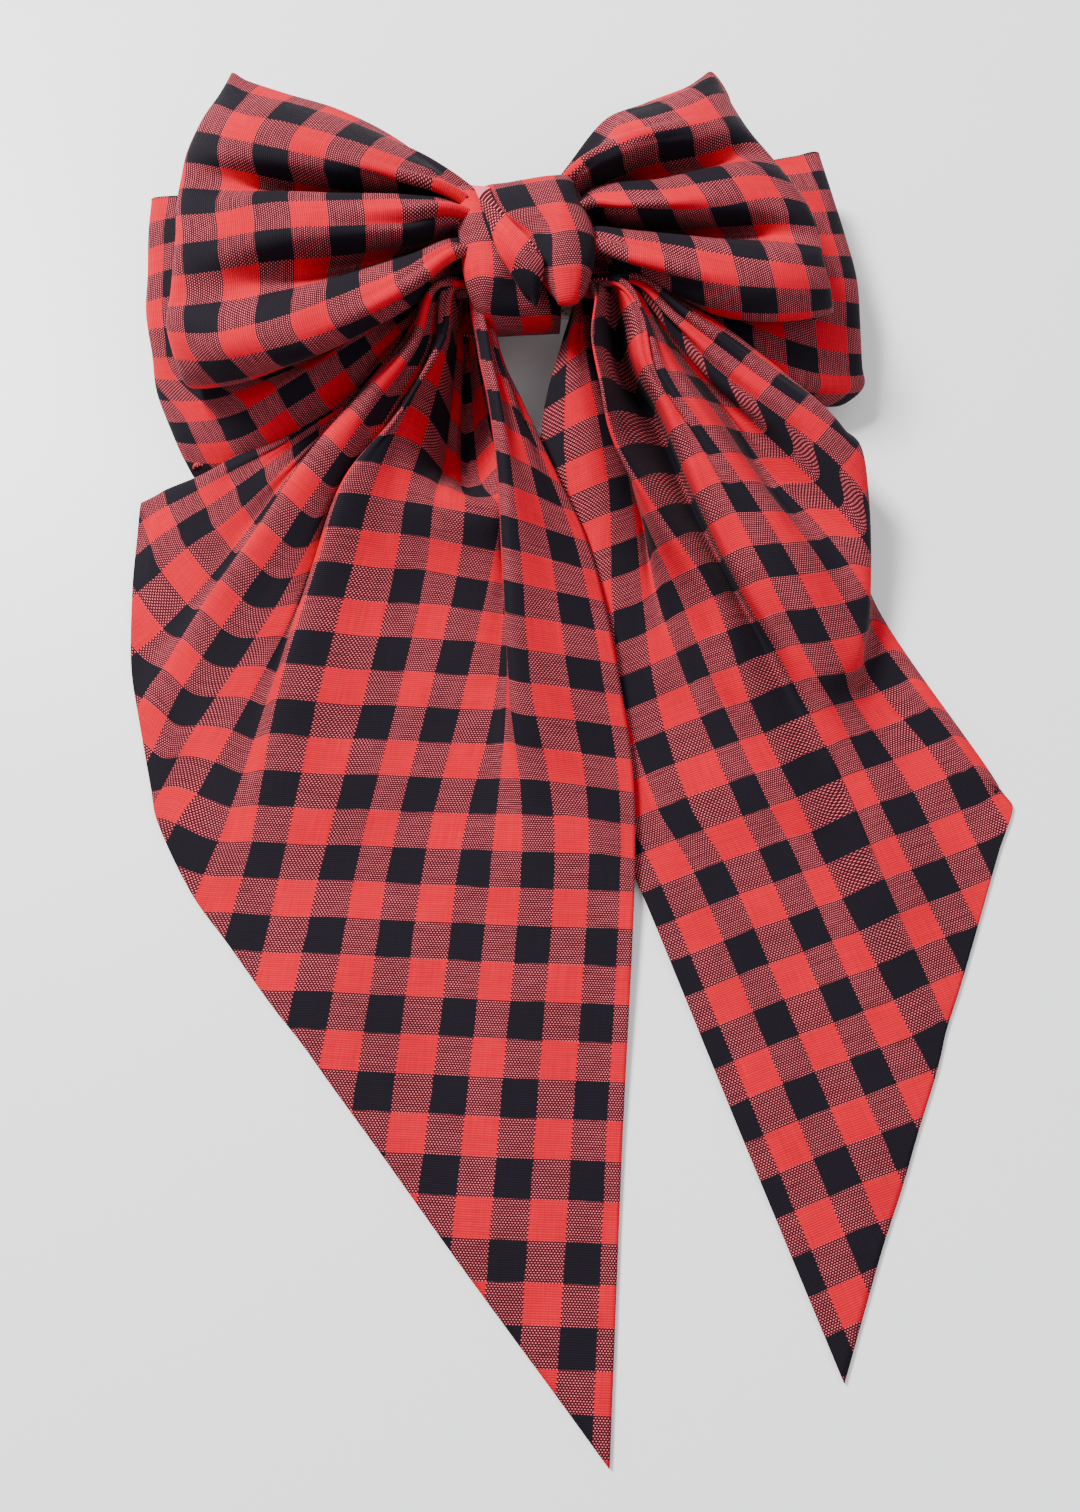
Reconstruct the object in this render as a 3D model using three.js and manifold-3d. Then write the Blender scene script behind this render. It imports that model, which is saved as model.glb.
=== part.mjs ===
// Hair bow: two flat looped bands and a pair of long tails, gathered at the waist, bound with thread,
// wrapped by a knot band and glued to a French barrette.
//
// Frame: +X along the barrette towards its catch, +Y towards the top of the bow (the tails run to -Y),
// +Z out of the front of the bow. The origin is on the middle of the clasp arm's outer face, the face
// that lies against the head. The bow lies on its back on the plane z = FLOOR. Millimetres.

import * as THREE from 'three';
import { mergeVertices } from 'three/addons/utils/BufferGeometryUtils.js';
import Module from 'manifold-3d';

const wasm = await Module();
wasm.setup();

// ---------------------------------------------------------------- driving dimensions

const GAP = 0.3; // between pieces that touch
const FLOOR = -4; // the surface the bow lies on

const clip = {
  length: 80,
  width: 8,
  plate: 0.8,
  arch: 3, // how far the middle stands above the two ends
  grip: 9, // clear height between the closed arm and the base bar
  armWidth: 5,
  armPlate: 1,
  pinRadius: 0.7,
  eyeRadius: 1.7, // rolled end of the arm round the hinge pin
  earPlate: 0.8,
  earRadius: 2.2,
  sewHoleRadius: 0.9,
  rivetRadius: 0.8,
};
const tension = { width: 4.4, plate: 0.4, bow: 1.2, below: 3.2 };
const prong = { plate: 0.6, length: 3.4, spread: 1, barb: 0.4 };
const headWindow = { length: 5.4, width: 4.8, rail: 1.3 };

const glue = { length: 34, width: 6, thickness: 0.8 };
const knot = { width: 38, length: 39, wall: 2.5, corner: 4, overlap: 3 };
const waist = { rear: 5.6, tails: 4.2, front: 6.2, low: 9, high: 15, free: 5 };
const thread = { wire: 0.9, band: 5 };

const band = { wall: 1.6, puffs: 3 };
// One side of a looped band: how far its fold reaches, where the fold starts and ends across the strip,
// how far the upper corner stands beyond the lower one, and how much the fold bows outwards.
const frontLeft = { side: -1, reach: 93, low: -39, high: 52, lean: -8, bulge: 8 };
const frontRight = { side: 1, reach: 86, low: -17, high: 53, lean: -33, bulge: 15 };
const rearLeft = { side: -1, reach: 98, low: -56, high: 30, lean: 16, bulge: 5 };
const rearRight = { side: 1, reach: 101, low: -30, high: 45, lean: -12, bulge: 3 };
const frontPuff = { above: 17, below: 6, noseZ: 30, overClip: false };
const rearPuff = { above: 4, below: 18, noseZ: 7, overClip: true };

const tail = { sheet: 1.8, leftDrop: 301, rightDrop: 281.5, pleat: 5, root: 21 };

// ---------------------------------------------------------------- the stack at the waist, from the head out

const baseUnder = clip.armPlate + clip.grip;
const baseTop = baseUnder + clip.plate;
const glueZ = baseTop + GAP;
const knotBack = glueZ + glue.thickness + GAP;
const rearZ = knotBack + knot.wall + GAP;
const tailsZ = rearZ + waist.rear + GAP;
const frontZ = tailsZ + waist.tails + GAP;
const knotFront = frontZ + waist.front + GAP + knot.wall;
const clipEnd = clip.length / 2;

// ---------------------------------------------------------------- materials

const finish = {
  gingham: { color: 0x8c1420, roughness: 0.9, metalness: 0 },
  thread: { color: 0x2a1014, roughness: 0.8, metalness: 0 },
  glue: { color: 0xe8e2cf, roughness: 0.4, metalness: 0 },
  steel: { color: 0xb9bcc0, roughness: 0.28, metalness: 1 },
};

const bow = new THREE.Group();

function add(name, slot, geometry) {
  const mesh = new THREE.Mesh(geometry, new THREE.MeshStandardMaterial(finish[slot]));
  mesh.name = name;
  bow.add(mesh);
  return mesh;
}

// ---------------------------------------------------------------- solids

// A closed mesh with shared corners, turned so that its faces point out.
function closed(points, triangles) {
  let volume = 0;
  for (let i = 0; i < triangles.length; i += 3) {
    const [a, b, c] = [points[triangles[i]], points[triangles[i + 1]], points[triangles[i + 2]]];
    volume += a.dot(b.clone().cross(c)) / 6;
  }
  const index = volume > 0 ? triangles : triangles.slice().reverse();
  const geometry = new THREE.BufferGeometry().setFromPoints(points);
  geometry.setIndex(index);
  geometry.computeVertexNormals();
  return geometry;
}

function toManifold(geometry) {
  const bare = geometry.clone();
  bare.deleteAttribute('normal');
  bare.deleteAttribute('uv');
  const merged = mergeVertices(bare, 1e-4);
  const mesh = new wasm.Mesh({
    numProp: 3,
    vertProperties: new Float32Array(merged.attributes.position.array),
    triVerts: new Uint32Array(merged.index.array),
  });
  return new wasm.Manifold(mesh);
}

function fromManifold(solid) {
  const mesh = solid.getMesh();
  const geometry = new THREE.BufferGeometry();
  geometry.setAttribute('position', new THREE.BufferAttribute(mesh.vertProperties, 3));
  geometry.setIndex(new THREE.BufferAttribute(mesh.triVerts, 1));
  geometry.computeVertexNormals();
  return geometry;
}

function join(first, ...others) {
  return fromManifold(others.reduce((sum, g) => sum.add(toManifold(g)), toManifold(first)));
}

function cut(body, ...tools) {
  return fromManifold(tools.reduce((rest, g) => rest.subtract(toManifold(g)), toManifold(body)));
}

function box(x0, x1, y0, y1, z0, z1) {
  const geometry = new THREE.BoxGeometry(x1 - x0, y1 - y0, z1 - z0);
  return geometry.translate((x0 + x1) / 2, (y0 + y1) / 2, (z0 + z1) / 2);
}

function rodY(radius, length, x, z, sides = 20) {
  return new THREE.CylinderGeometry(radius, radius, length, sides).translate(x, 0, z);
}

function rodZ(radius, z0, z1, x, y, sides = 16) {
  const geometry = new THREE.CylinderGeometry(radius, radius, z1 - z0, sides).rotateX(Math.PI / 2);
  return geometry.translate(x, y, (z0 + z1) / 2);
}

// A shape drawn in the X-Z plane and carried from y0 to y1.
function slabXZ(points, y0, y1) {
  const shape = new THREE.Shape(points.map(([x, z]) => new THREE.Vector2(x, z)));
  const geometry = new THREE.ExtrudeGeometry(shape, { depth: y1 - y0, bevelEnabled: false });
  return geometry.rotateX(Math.PI / 2).translate(0, y1, 0);
}

function smooth(from, to, x) {
  const t = Math.min(Math.max((x - from) / (to - from), 0), 1);
  return t * t * (3 - 2 * t);
}

const mix = (a, b, t) => a + (b - a) * t;

// ---------------------------------------------------------------- looped bands

const LOBE_STEPS = 7; // along each wall of a loop
const ACROSS_STEPS = 12; // across the strip

// How much of a loop's reach lies inside the knot, and how much lies before its walls part.
function waistShares(loop) {
  return [(knot.width / 2 + GAP) / loop.reach, (knot.width / 2 + waist.free) / loop.reach];
}

// The two walls of one loop at share v across the strip and share s of the way to its fold. The walls
// leave the gathered waist, part by the puff, and close round the fold as the side of an ellipse.
function lobeWalls(loop, puff, waistZ, waistThickness) {
  const [knotShare, openAt] = waistShares(loop);
  const dropAt = puff.overClip ? (clipEnd + clip.width / 2) / loop.reach : openAt;
  return (v, s) => {
    const fold = Math.sqrt(Math.max(1 - s * s, 0));
    const scallop = 0.72 + 0.28 * Math.sqrt(Math.abs(Math.sin(Math.PI * band.puffs * v)));
    const half = waistThickness / 2;
    const above = half + puff.above * scallop * smooth(openAt, openAt + 0.35, s);
    const below = half + puff.below * smooth(dropAt, dropAt + 0.35, s);
    const foldX = loop.reach + loop.lean * v + loop.bulge * 4 * v * (1 - v);
    const foldY = mix(loop.low, loop.high, v);
    const waistY = mix(-waist.low, waist.high, v);
    const fan = Math.max(s - knotShare, 0) / (1 - knotShare);
    const middle = mix(waistZ + waistThickness / 2, puff.noseZ, fan);
    const inKnot = loop.reach * Math.min(s, knotShare);
    return {
      x: loop.side * (inKnot + (foldX - loop.reach * knotShare) * fan),
      y: mix(waistY, foldY, fan),
      top: middle + above * fold,
      bottom: middle - below * fold,
    };
  };
}

// The flat rim of a sleeve: solid up to the hollow's mouth, then a strip along each wall to the fold.
// Walls are numbered from the waist to the fold, 0 to far outside and 0 to deep in the hollow.
function capFaces(far, deep) {
  const top = (k) => ({ at: k });
  const bottom = (k) => ({ at: k === far ? far : 2 * far - k });
  const inTop = (k) => ({ at: k, hollow: true });
  const inBottom = (k) => ({ at: 2 * deep + 1 - k, hollow: true });
  const shift = far - deep;
  const faces = [];
  for (let k = 0; k < shift - 1; k += 1) {
    faces.push([top(k), top(k + 1), bottom(k + 1)], [top(k), bottom(k + 1), bottom(k)]);
  }
  const last = shift - 1;
  faces.push([top(last), top(shift), inTop(0)], [top(last), inTop(0), inBottom(0)]);
  faces.push([top(last), inBottom(0), bottom(last)], [bottom(last), inBottom(0), bottom(shift)]);
  for (let k = 0; k < deep; k += 1) {
    faces.push([top(k + shift), top(k + shift + 1), inTop(k + 1)], [top(k + shift), inTop(k + 1), inTop(k)]);
    faces.push([bottom(k + shift), inBottom(k), inBottom(k + 1)]);
    faces.push([bottom(k + shift), inBottom(k + 1), bottom(k + shift + 1)]);
  }
  faces.push([inTop(deep), top(far), inBottom(deep)]);
  return faces;
}

// Sleeve with a through hollow: rings of points round the outside and the hollow, row by row across.
function lobe(loop, puff, waistZ, waistThickness) {
  const walls = lobeWalls(loop, puff, waistZ, waistThickness);
  const [knotShare, openAt] = waistShares(loop);
  const endIn = 1 - band.wall / loop.reach;
  const quarterTurn = (k) => Math.sin((Math.PI / 2) * ((k + 1) / LOBE_STEPS));
  const turns = Array.from({ length: LOBE_STEPS }, (_, k) => quarterTurn(k));
  const outSteps = [-0.006, knotShare, openAt, ...turns.map((turn) => mix(openAt, 1, turn))];
  const inSteps = [openAt, ...turns.map((turn) => mix(openAt, endIn, turn))];
  const round = (steps, closes) => [
    ...steps.map((s) => ({ s, wall: 'top' })),
    ...steps.slice(0, closes ? -1 : steps.length).reverse().map((s) => ({ s, wall: 'bottom' })),
  ];
  const points = [];
  const rows = [];
  for (let i = 0; i <= ACROSS_STEPS; i += 1) {
    const v = i / ACROSS_STEPS;
    const outer = round(outSteps, true);
    const inner = round(inSteps, false);
    const place = ({ s, wall }, inset) => {
      const at = walls(v, s);
      const z = wall === 'top' ? at.top - inset : at.bottom + inset;
      return new THREE.Vector3(at.x, at.y, z);
    };
    const outPoints = outer.map((step) => place(step, 0));
    const inPoints = inner.map((step) => place(step, band.wall));
    rows.push({ out: points.length, in: points.length + outPoints.length });
    points.push(...outPoints, ...inPoints);
  }
  const triangles = [];
  const skin = (start, count, turned) => {
    for (let i = 0; i < ACROSS_STEPS; i += 1) {
      for (let j = 0; j < count; j += 1) {
        const k = (j + 1) % count;
        const [a, b] = [rows[i][start] + j, rows[i][start] + k];
        const [c, d] = [rows[i + 1][start] + k, rows[i + 1][start] + j];
        triangles.push(...(turned ? [a, c, b, a, d, c] : [a, b, c, a, c, d]));
      }
    }
  };
  skin('out', 2 * outSteps.length - 1, false);
  skin('in', 2 * inSteps.length, true);
  const faces = capFaces(outSteps.length - 1, inSteps.length - 1);
  const mark = (row, k) => (k.hollow ? row.in : row.out) + k.at;
  for (const [a, b, c] of faces) {
    triangles.push(mark(rows[0], a), mark(rows[0], c), mark(rows[0], b));
    const last = rows[ACROSS_STEPS];
    triangles.push(mark(last, a), mark(last, b), mark(last, c));
  }
  return closed(points, triangles);
}

// The binding thread lies in a groove round the waist: a frame of wire thickness, open along X.
function threadFrame(y0, y1, z0, thickness, grow) {
  const x = thread.band / 2 + grow;
  const deep = thread.wire + grow;
  const outer = box(-x, x, y0 - 1, y1 + 1, z0 - 1, z0 + thickness + 1);
  const hollow = box(-x - 1, x + 1, y0 + deep, y1 - deep, z0 + deep, z0 + thickness - deep);
  return cut(outer, hollow);
}

function threadRing(y0, y1, z0, thickness) {
  const x = thread.band / 2;
  return cut(threadFrame(y0, y1, z0, thickness, 0), threadOutside(x, y0, y1, z0, thickness));
}

// Everything round a thread ring's outer faces.
function threadOutside(x, y0, y1, z0, thickness) {
  const far = 5;
  const around = box(-x - 1, x + 1, y0 - far, y1 + far, z0 - far, z0 + thickness + far);
  return cut(around, box(-x - 2, x + 2, y0, y1, z0, z0 + thickness));
}

function boundBand(left, right, puff, z0, thickness) {
  const whole = join(lobe(left, puff, z0, thickness), lobe(right, puff, z0, thickness));
  return cut(whole, threadFrame(-waist.low, waist.high, z0, thickness, GAP));
}

add('front_band', 'gingham', boundBand(frontLeft, frontRight, frontPuff, frontZ, waist.front));
add('rear_band', 'gingham', boundBand(rearLeft, rearRight, rearPuff, rearZ, waist.rear));
add('front_thread', 'thread', threadRing(-waist.low, waist.high, frontZ, waist.front));
add('rear_thread', 'thread', threadRing(-waist.low, waist.high, rearZ, waist.rear));

// ---------------------------------------------------------------- tails

// The middle of the tail strip, gathered flat between the two bands.
const tailWaistEnd = knot.width / 2 + waist.free - 1;
const tailBounds = [-waist.low - 5, waist.high - 4, tailsZ, waist.tails];
const [waistLow, waistHigh] = tailBounds;
const tailWaist = box(-tailWaistEnd, tailWaistEnd, waistLow, waistHigh, tailsZ, tailsZ + waist.tails);
add('tail_waist', 'gingham', cut(tailWaist, threadFrame(...tailBounds, GAP)));
add('tail_thread', 'thread', threadRing(...tailBounds));

// Each row of a tail runs from its outer side to its inner side: x in mm, then the share of the drop
// from the knot to the tip, then the height above the table.
const leftRows = [
  [-26, 0.002, 27, -12, 0.004, 29],
  [-50, 0.05, 22, -4, 0.042, 25],
  [-78, 0.107, 12, 5, 0.095, 20],
  [-104, 0.138, 7, 15, 0.168, 15],
  [-117, 0.178, 4, 22, 0.262, 11],
  [-117, 0.28, 3, 27, 0.38, 6],
  [-108, 0.42, 2.1, 29, 0.485, 3],
  [-90, 0.532, 2.1, 28, 0.58, 2.1],
  [-55, 0.682, 2.1, 26, 0.73, 2.1],
  [-16, 0.845, 2.1, 23.5, 0.88, 2.1],
  [20, 0.994, 2.1, 22.5, 1, 2.1],
];
const rightRows = [
  [26, 0.002, 27, 14, 0.004, 29],
  [48, 0.022, 30, 12, 0.045, 24],
  [74, 0.064, 29, 14, 0.085, 20],
  [95, 0.115, 24, 20.5, 0.165, 15],
  [98, 0.2, 16, 26, 0.27, 10],
  [99, 0.26, 9, 30, 0.37, 6],
  [112, 0.34, 5, 32, 0.46, 3.5],
  [137, 0.463, 3, 36, 0.56, 2.1],
  [131, 0.55, 2.1, 47, 0.65, 2.1],
  [117, 0.67, 2.1, 60, 0.78, 2.1],
  [98, 0.845, 2.1, 71, 0.925, 2.1],
  [83, 0.99, 2.1, 80.5, 1, 2.1],
];
const ALONG_STEPS = 24;
const FAN_STEPS = 14;

// A draped sheet: smooth curves through the rows' ends, straight across, with pleats that fade out
// towards the tip; its underside is the same surface one sheet thickness lower.
function tailSheet(rows, drop, pleats) {
  const curve = (points) => new THREE.CatmullRomCurve3(points, false, 'centripetal');
  const outer = curve(rows.map((r) => new THREE.Vector3(r[0], -tail.root - r[1] * drop, FLOOR + r[2])));
  const inner = curve(rows.map((r) => new THREE.Vector3(r[3], -tail.root - r[4] * drop, FLOOR + r[5])));
  const points = [];
  for (let i = 0; i <= ALONG_STEPS; i += 1) {
    const t = i / ALONG_STEPS;
    const [a, b] = [outer.getPoint(t), inner.getPoint(t)];
    for (let j = 0; j <= FAN_STEPS; j += 1) {
      const u = j / FAN_STEPS;
      const p = a.clone().lerp(b, u);
      const swell = smooth(0, 0.18, t) * (1 - smooth(0.35, 0.62, t));
      p.z += tail.pleat * swell * (0.5 - 0.5 * Math.cos(2 * Math.PI * pleats * u));
      points.push(p);
    }
  }
  const count = points.length;
  points.push(...points.map((p) => new THREE.Vector3(p.x, p.y, p.z - tail.sheet)));
  const triangles = [];
  const width = FAN_STEPS + 1;
  const quad = (a, b, c, d) => triangles.push(a, b, c, a, c, d);
  for (let i = 0; i < ALONG_STEPS; i += 1) {
    for (let j = 0; j < FAN_STEPS; j += 1) {
      const a = i * width + j;
      quad(a, a + 1, a + 1 + width, a + width);
      quad(count + a, count + a + width, count + a + 1 + width, count + a + 1);
    }
  }
  const rim = [];
  for (let j = 0; j < FAN_STEPS; j += 1) rim.push(j);
  for (let i = 0; i < ALONG_STEPS; i += 1) rim.push(i * width + FAN_STEPS);
  for (let j = FAN_STEPS; j > 0; j -= 1) rim.push(ALONG_STEPS * width + j);
  for (let i = ALONG_STEPS; i > 0; i -= 1) rim.push(i * width);
  rim.forEach((a, k) => {
    const b = rim[(k + 1) % rim.length];
    quad(a, count + a, count + b, b);
  });
  return closed(points, triangles);
}

add('tail_left', 'gingham', tailSheet(leftRows, tail.leftDrop, 4));
add('tail_right', 'gingham', tailSheet(rightRows, tail.rightDrop, 3));

// ---------------------------------------------------------------- knot

// A rounded rectangle in the Y-Z plane.
function roundedOutline(target, y0, y1, z0, z1, r) {
  target.moveTo(y0 + r, z0);
  target.lineTo(y1 - r, z0);
  target.absarc(y1 - r, z0 + r, r, -Math.PI / 2, 0);
  target.lineTo(y1, z1 - r);
  target.absarc(y1 - r, z1 - r, r, 0, Math.PI / 2);
  target.lineTo(y0 + r, z1);
  target.absarc(y0 + r, z1 - r, r, Math.PI / 2, Math.PI);
  target.lineTo(y0, z0 + r);
  target.absarc(y0 + r, z0 + r, r, Math.PI, 1.5 * Math.PI);
  return target;
}

// Carries a shape of the Y-Z plane from x0 to x1.
function slabYZ(shape, x0, x1) {
  const depth = x1 - x0;
  const geometry = new THREE.ExtrudeGeometry(shape, { depth, bevelEnabled: false, curveSegments: 6 });
  const turn = new THREE.Matrix4().makeBasis(
    new THREE.Vector3(0, 1, 0),
    new THREE.Vector3(0, 0, 1),
    new THREE.Vector3(1, 0, 0),
  );
  return geometry.applyMatrix4(turn).translate(x0, 0, 0);
}

const knotHalf = knot.length / 2;
const knotRing = roundedOutline(new THREE.Shape(), -knotHalf, knotHalf, knotBack, knotFront, knot.corner);
const innerHalf = knotHalf - knot.wall;
const innerCorner = knot.corner - knot.wall;
const [innerBack, innerFront] = [knotBack + knot.wall, knotFront - knot.wall];
knotRing.holes.push(
  roundedOutline(new THREE.Path(), -innerHalf, innerHalf, innerBack, innerFront, innerCorner),
);
add('knot_band', 'gingham', slabYZ(knotRing, -knot.width / 2, knot.width / 2));

// The strip's second turn crosses the front of the knot on a slant and folds under at its tip.
const overlapOutline = new THREE.Shape();
overlapOutline.moveTo(-13, knotHalf - 2);
overlapOutline.lineTo(11, knotHalf - 2);
overlapOutline.quadraticCurveTo(19, 12, knot.width / 2, 3);
overlapOutline.quadraticCurveTo(18.5, -10, 13, 3 - knotHalf);
overlapOutline.lineTo(5, 3 - knotHalf);
overlapOutline.quadraticCurveTo(-3, -7, -8, 3);
overlapOutline.quadraticCurveTo(-12, 10, -13, knotHalf - 2);
const overlapShell = new THREE.ExtrudeGeometry(overlapOutline, {
  depth: knot.overlap - 1.6,
  bevelEnabled: true,
  bevelThickness: 0.8,
  bevelSize: 0.8,
  bevelOffset: -0.8,
  bevelSegments: 2,
  curveSegments: 6,
});
add('knot_overlap', 'gingham', overlapShell.translate(0, 0, knotFront + GAP + 0.8));

// ---------------------------------------------------------------- barrette

const archAt = (x) => -clip.arch * (x / clipEnd) ** 2;

// A strip that follows the barrette's arch, from x0 to x1, its underside at z in the middle.
function archedStrip(x0, x1, z, thickness, width, rise = archAt) {
  const steps = 15; // odd, so the middle facet is level
  const xs = Array.from({ length: steps + 1 }, (_, i) => mix(x0, x1, i / steps));
  const facet = (x) => {
    const pitch = (x1 - x0) / steps;
    const middle = Math.abs(x) < pitch * 0.51 ? pitch / 2 : x;
    return rise(middle);
  };
  const level = facet(0);
  const under = xs.map((x) => [x, z + facet(x) - level]);
  const over = xs.map((x) => [x, z + thickness + facet(x) - level]).reverse();
  return slabXZ([...under, ...over], -width / 2, width / 2);
}

const pinX = -clipEnd + 3;
const pinZ = FLOOR + clip.earRadius + 0.2;

// Base bar with two ears folded down at the hinge end.
function baseBar() {
  const bar = archedStrip(-clipEnd, clipEnd, baseUnder, clip.plate, clip.width);
  const earTop = baseUnder + archAt(pinX) + 0.4;
  const ears = [-1, 1].map((side) => {
    const y = side * (clip.width / 2 - clip.earPlate / 2);
    const [y0, y1] = [y - clip.earPlate / 2, y + clip.earPlate / 2];
    const plate = box(pinX - clip.earRadius, pinX + clip.earRadius, y0, y1, pinZ, earTop);
    const round = rodY(clip.earRadius, clip.earPlate, pinX, pinZ).translate(0, y, 0);
    return join(plate, round);
  });
  const pinBore = rodY(clip.pinRadius + 0.05, clip.width + 2, pinX, pinZ);
  const sewHole = (x) => rodZ(clip.sewHoleRadius, baseUnder - 4, baseTop + 2, x, 0, 12);
  const sewHoles = [-24, -12, 12, 24].map(sewHole);
  const rivetHole = rodZ(clip.rivetRadius + GAP, 0, baseTop + 2, clipEnd - 4, 0, 12);
  return cut(join(bar, ...ears), pinBore, ...sewHoles, rivetHole);
}
add('base_bar', 'steel', baseBar());

function hingePin() {
  const heads = [-1, 1].map((side) => {
    const y = side * (clip.width / 2 + GAP + 0.3);
    return rodY(clip.pinRadius + 0.5, 0.6, pinX, pinZ).translate(0, y, 0);
  });
  return join(rodY(clip.pinRadius, clip.width + 1, pinX, pinZ), ...heads);
}
add('hinge_pin', 'steel', hingePin());

// Arm with an eye round the pin and, at the other end, a head with a window for the two prongs.
const windowX = clipEnd - 4;
function claspArm() {
  const armStart = pinX + clip.eyeRadius * 0.6;
  const headStart = windowX - headWindow.length / 2 - headWindow.rail;
  const headEnd = windowX + headWindow.length / 2 + headWindow.rail * 0.6;
  const bar = archedStrip(-headEnd, headEnd, 0, clip.armPlate, clip.armWidth);
  const trim = box(-headEnd - 1, armStart, -clip.width, clip.width, FLOOR - 5, 5);
  const eye = rodY(clip.eyeRadius, clip.armWidth, pinX, pinZ);
  const tongueZ = archAt(armStart);
  const halfArm = clip.armWidth / 2;
  const tongue = box(pinX, armStart + 3, -halfArm, halfArm, tongueZ, tongueZ + clip.armPlate);
  const headWidth = headWindow.width + 2 * headWindow.rail;
  const headZ = archAt(headEnd) + 0.35;
  const head = box(headStart, headEnd, -headWidth / 2, headWidth / 2, headZ, headZ + clip.armPlate);
  const half = { x: headWindow.length / 2, y: headWindow.width / 2 };
  const window = box(windowX - half.x, windowX + half.x, -half.y, half.y, FLOOR - 2, 3);
  const bore = rodY(clip.pinRadius + 0.05, clip.width, pinX, pinZ);
  return cut(join(cut(bar, trim), eye, tongue, head), window, bore);
}
add('clasp_arm', 'steel', claspArm());

// Catch plate under the bar's end, riveted through it, with a lug that the two prongs hang from.
const catchUnder = baseUnder + archAt(clipEnd) - GAP - 0.9;
const lugUnder = catchUnder - 1.4;
function catchPlate() {
  const halfPlate = clip.width / 2 - 0.5;
  const plate = box(windowX - 3, windowX + 3, -halfPlate, halfPlate, catchUnder, catchUnder + 0.8);
  const hole = rodZ(clip.rivetRadius + 0.05, lugUnder - 1, catchUnder + 2, windowX, 0, 12);
  const lugs = [-1, 1].map((side) => {
    const y = side * (clip.width / 2 - 0.9);
    return box(windowX - 3, windowX + 3, y - 0.4, y + 0.4, lugUnder, catchUnder + 0.4);
  });
  return cut(join(plate, ...lugs), hole);
}
add('catch_plate', 'steel', catchPlate());

function catchRivet() {
  const top = baseTop + archAt(windowX) + 0.7;
  const shank = rodZ(clip.rivetRadius, catchUnder - 0.5, top, windowX, 0, 12);
  const domeUnder = rodZ(clip.rivetRadius + 0.6, catchUnder - 0.9, catchUnder - GAP, windowX, 0, 12);
  const domeOver = rodZ(clip.rivetRadius + 0.6, top - 0.1, top + 0.4, windowX, 0, 12);
  return join(shank, domeUnder, domeOver);
}
add('catch_rivet', 'steel', catchRivet());

const prongTop = catchUnder - 0.9 - GAP;
const prongFoot = FLOOR + 0.15;
function catchProng(side) {
  const inner = prong.spread;
  const outer = inner + prong.plate;
  const half = prong.length / 2;
  const leg = box(windowX - half, windowX + half, inner, outer, prongFoot, prongTop);
  const [barbIn, barbOut] = [outer - 0.1, outer + prong.barb];
  const barb = box(windowX - half, windowX + half, barbIn, barbOut, prongFoot, prongFoot + 0.8);
  const solid = join(leg, barb);
  return side > 0 ? solid : solid.scale(1, -1, 1);
}

function mirrored(geometry) {
  const index = geometry.index.array.slice().reverse();
  geometry.setIndex(new THREE.BufferAttribute(index, 1));
  geometry.computeVertexNormals();
  return geometry;
}
add('catch_prong_upper', 'steel', catchProng(1));
add('catch_prong_lower', 'steel', mirrored(catchProng(-1)));

// Tension bar: a thin strip under the base bar, bowed the other way.
const tensionEnd = clipEnd - 9;
const tensionRise = (x) => tension.bow * (x / tensionEnd) ** 2;
const tensionUnder = baseUnder - tension.below - tension.plate;
add(
  'tension_bar',
  'steel',
  archedStrip(-tensionEnd, tensionEnd, tensionUnder, tension.plate, tension.width, tensionRise),
);

// ---------------------------------------------------------------- glue

const glueShape = new THREE.Shape();
glueShape.absellipse(0, 0, glue.length / 2, glue.width / 2, 0, 2 * Math.PI);
const glueSlab = { depth: glue.thickness, bevelEnabled: false, curveSegments: 24 };
const gluePad = new THREE.ExtrudeGeometry(glueShape, glueSlab);
add('glue_pad', 'glue', gluePad.translate(0, 0, glueZ));

export default bow;
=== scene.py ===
import math

import bpy
import numpy as np
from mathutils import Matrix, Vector


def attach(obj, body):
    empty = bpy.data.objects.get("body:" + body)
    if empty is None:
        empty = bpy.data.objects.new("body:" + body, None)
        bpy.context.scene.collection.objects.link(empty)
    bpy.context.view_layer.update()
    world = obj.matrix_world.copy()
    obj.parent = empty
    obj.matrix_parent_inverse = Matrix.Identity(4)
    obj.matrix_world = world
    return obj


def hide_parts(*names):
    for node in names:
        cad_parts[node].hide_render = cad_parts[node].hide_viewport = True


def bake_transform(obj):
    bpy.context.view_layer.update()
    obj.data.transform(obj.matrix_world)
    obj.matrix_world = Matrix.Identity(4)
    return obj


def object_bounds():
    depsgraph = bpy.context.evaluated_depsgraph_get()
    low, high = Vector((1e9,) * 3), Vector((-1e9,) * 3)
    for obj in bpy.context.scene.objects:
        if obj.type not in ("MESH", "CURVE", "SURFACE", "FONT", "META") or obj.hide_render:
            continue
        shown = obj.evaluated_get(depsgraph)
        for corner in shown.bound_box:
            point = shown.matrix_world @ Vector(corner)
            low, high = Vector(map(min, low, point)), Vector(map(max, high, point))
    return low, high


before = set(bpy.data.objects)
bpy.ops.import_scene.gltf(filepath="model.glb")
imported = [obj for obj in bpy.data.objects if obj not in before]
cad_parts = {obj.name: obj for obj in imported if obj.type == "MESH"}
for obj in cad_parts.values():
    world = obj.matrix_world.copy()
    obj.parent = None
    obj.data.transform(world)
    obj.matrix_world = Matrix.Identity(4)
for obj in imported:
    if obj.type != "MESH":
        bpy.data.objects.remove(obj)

CAD_LOW, CAD_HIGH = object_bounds()

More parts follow.
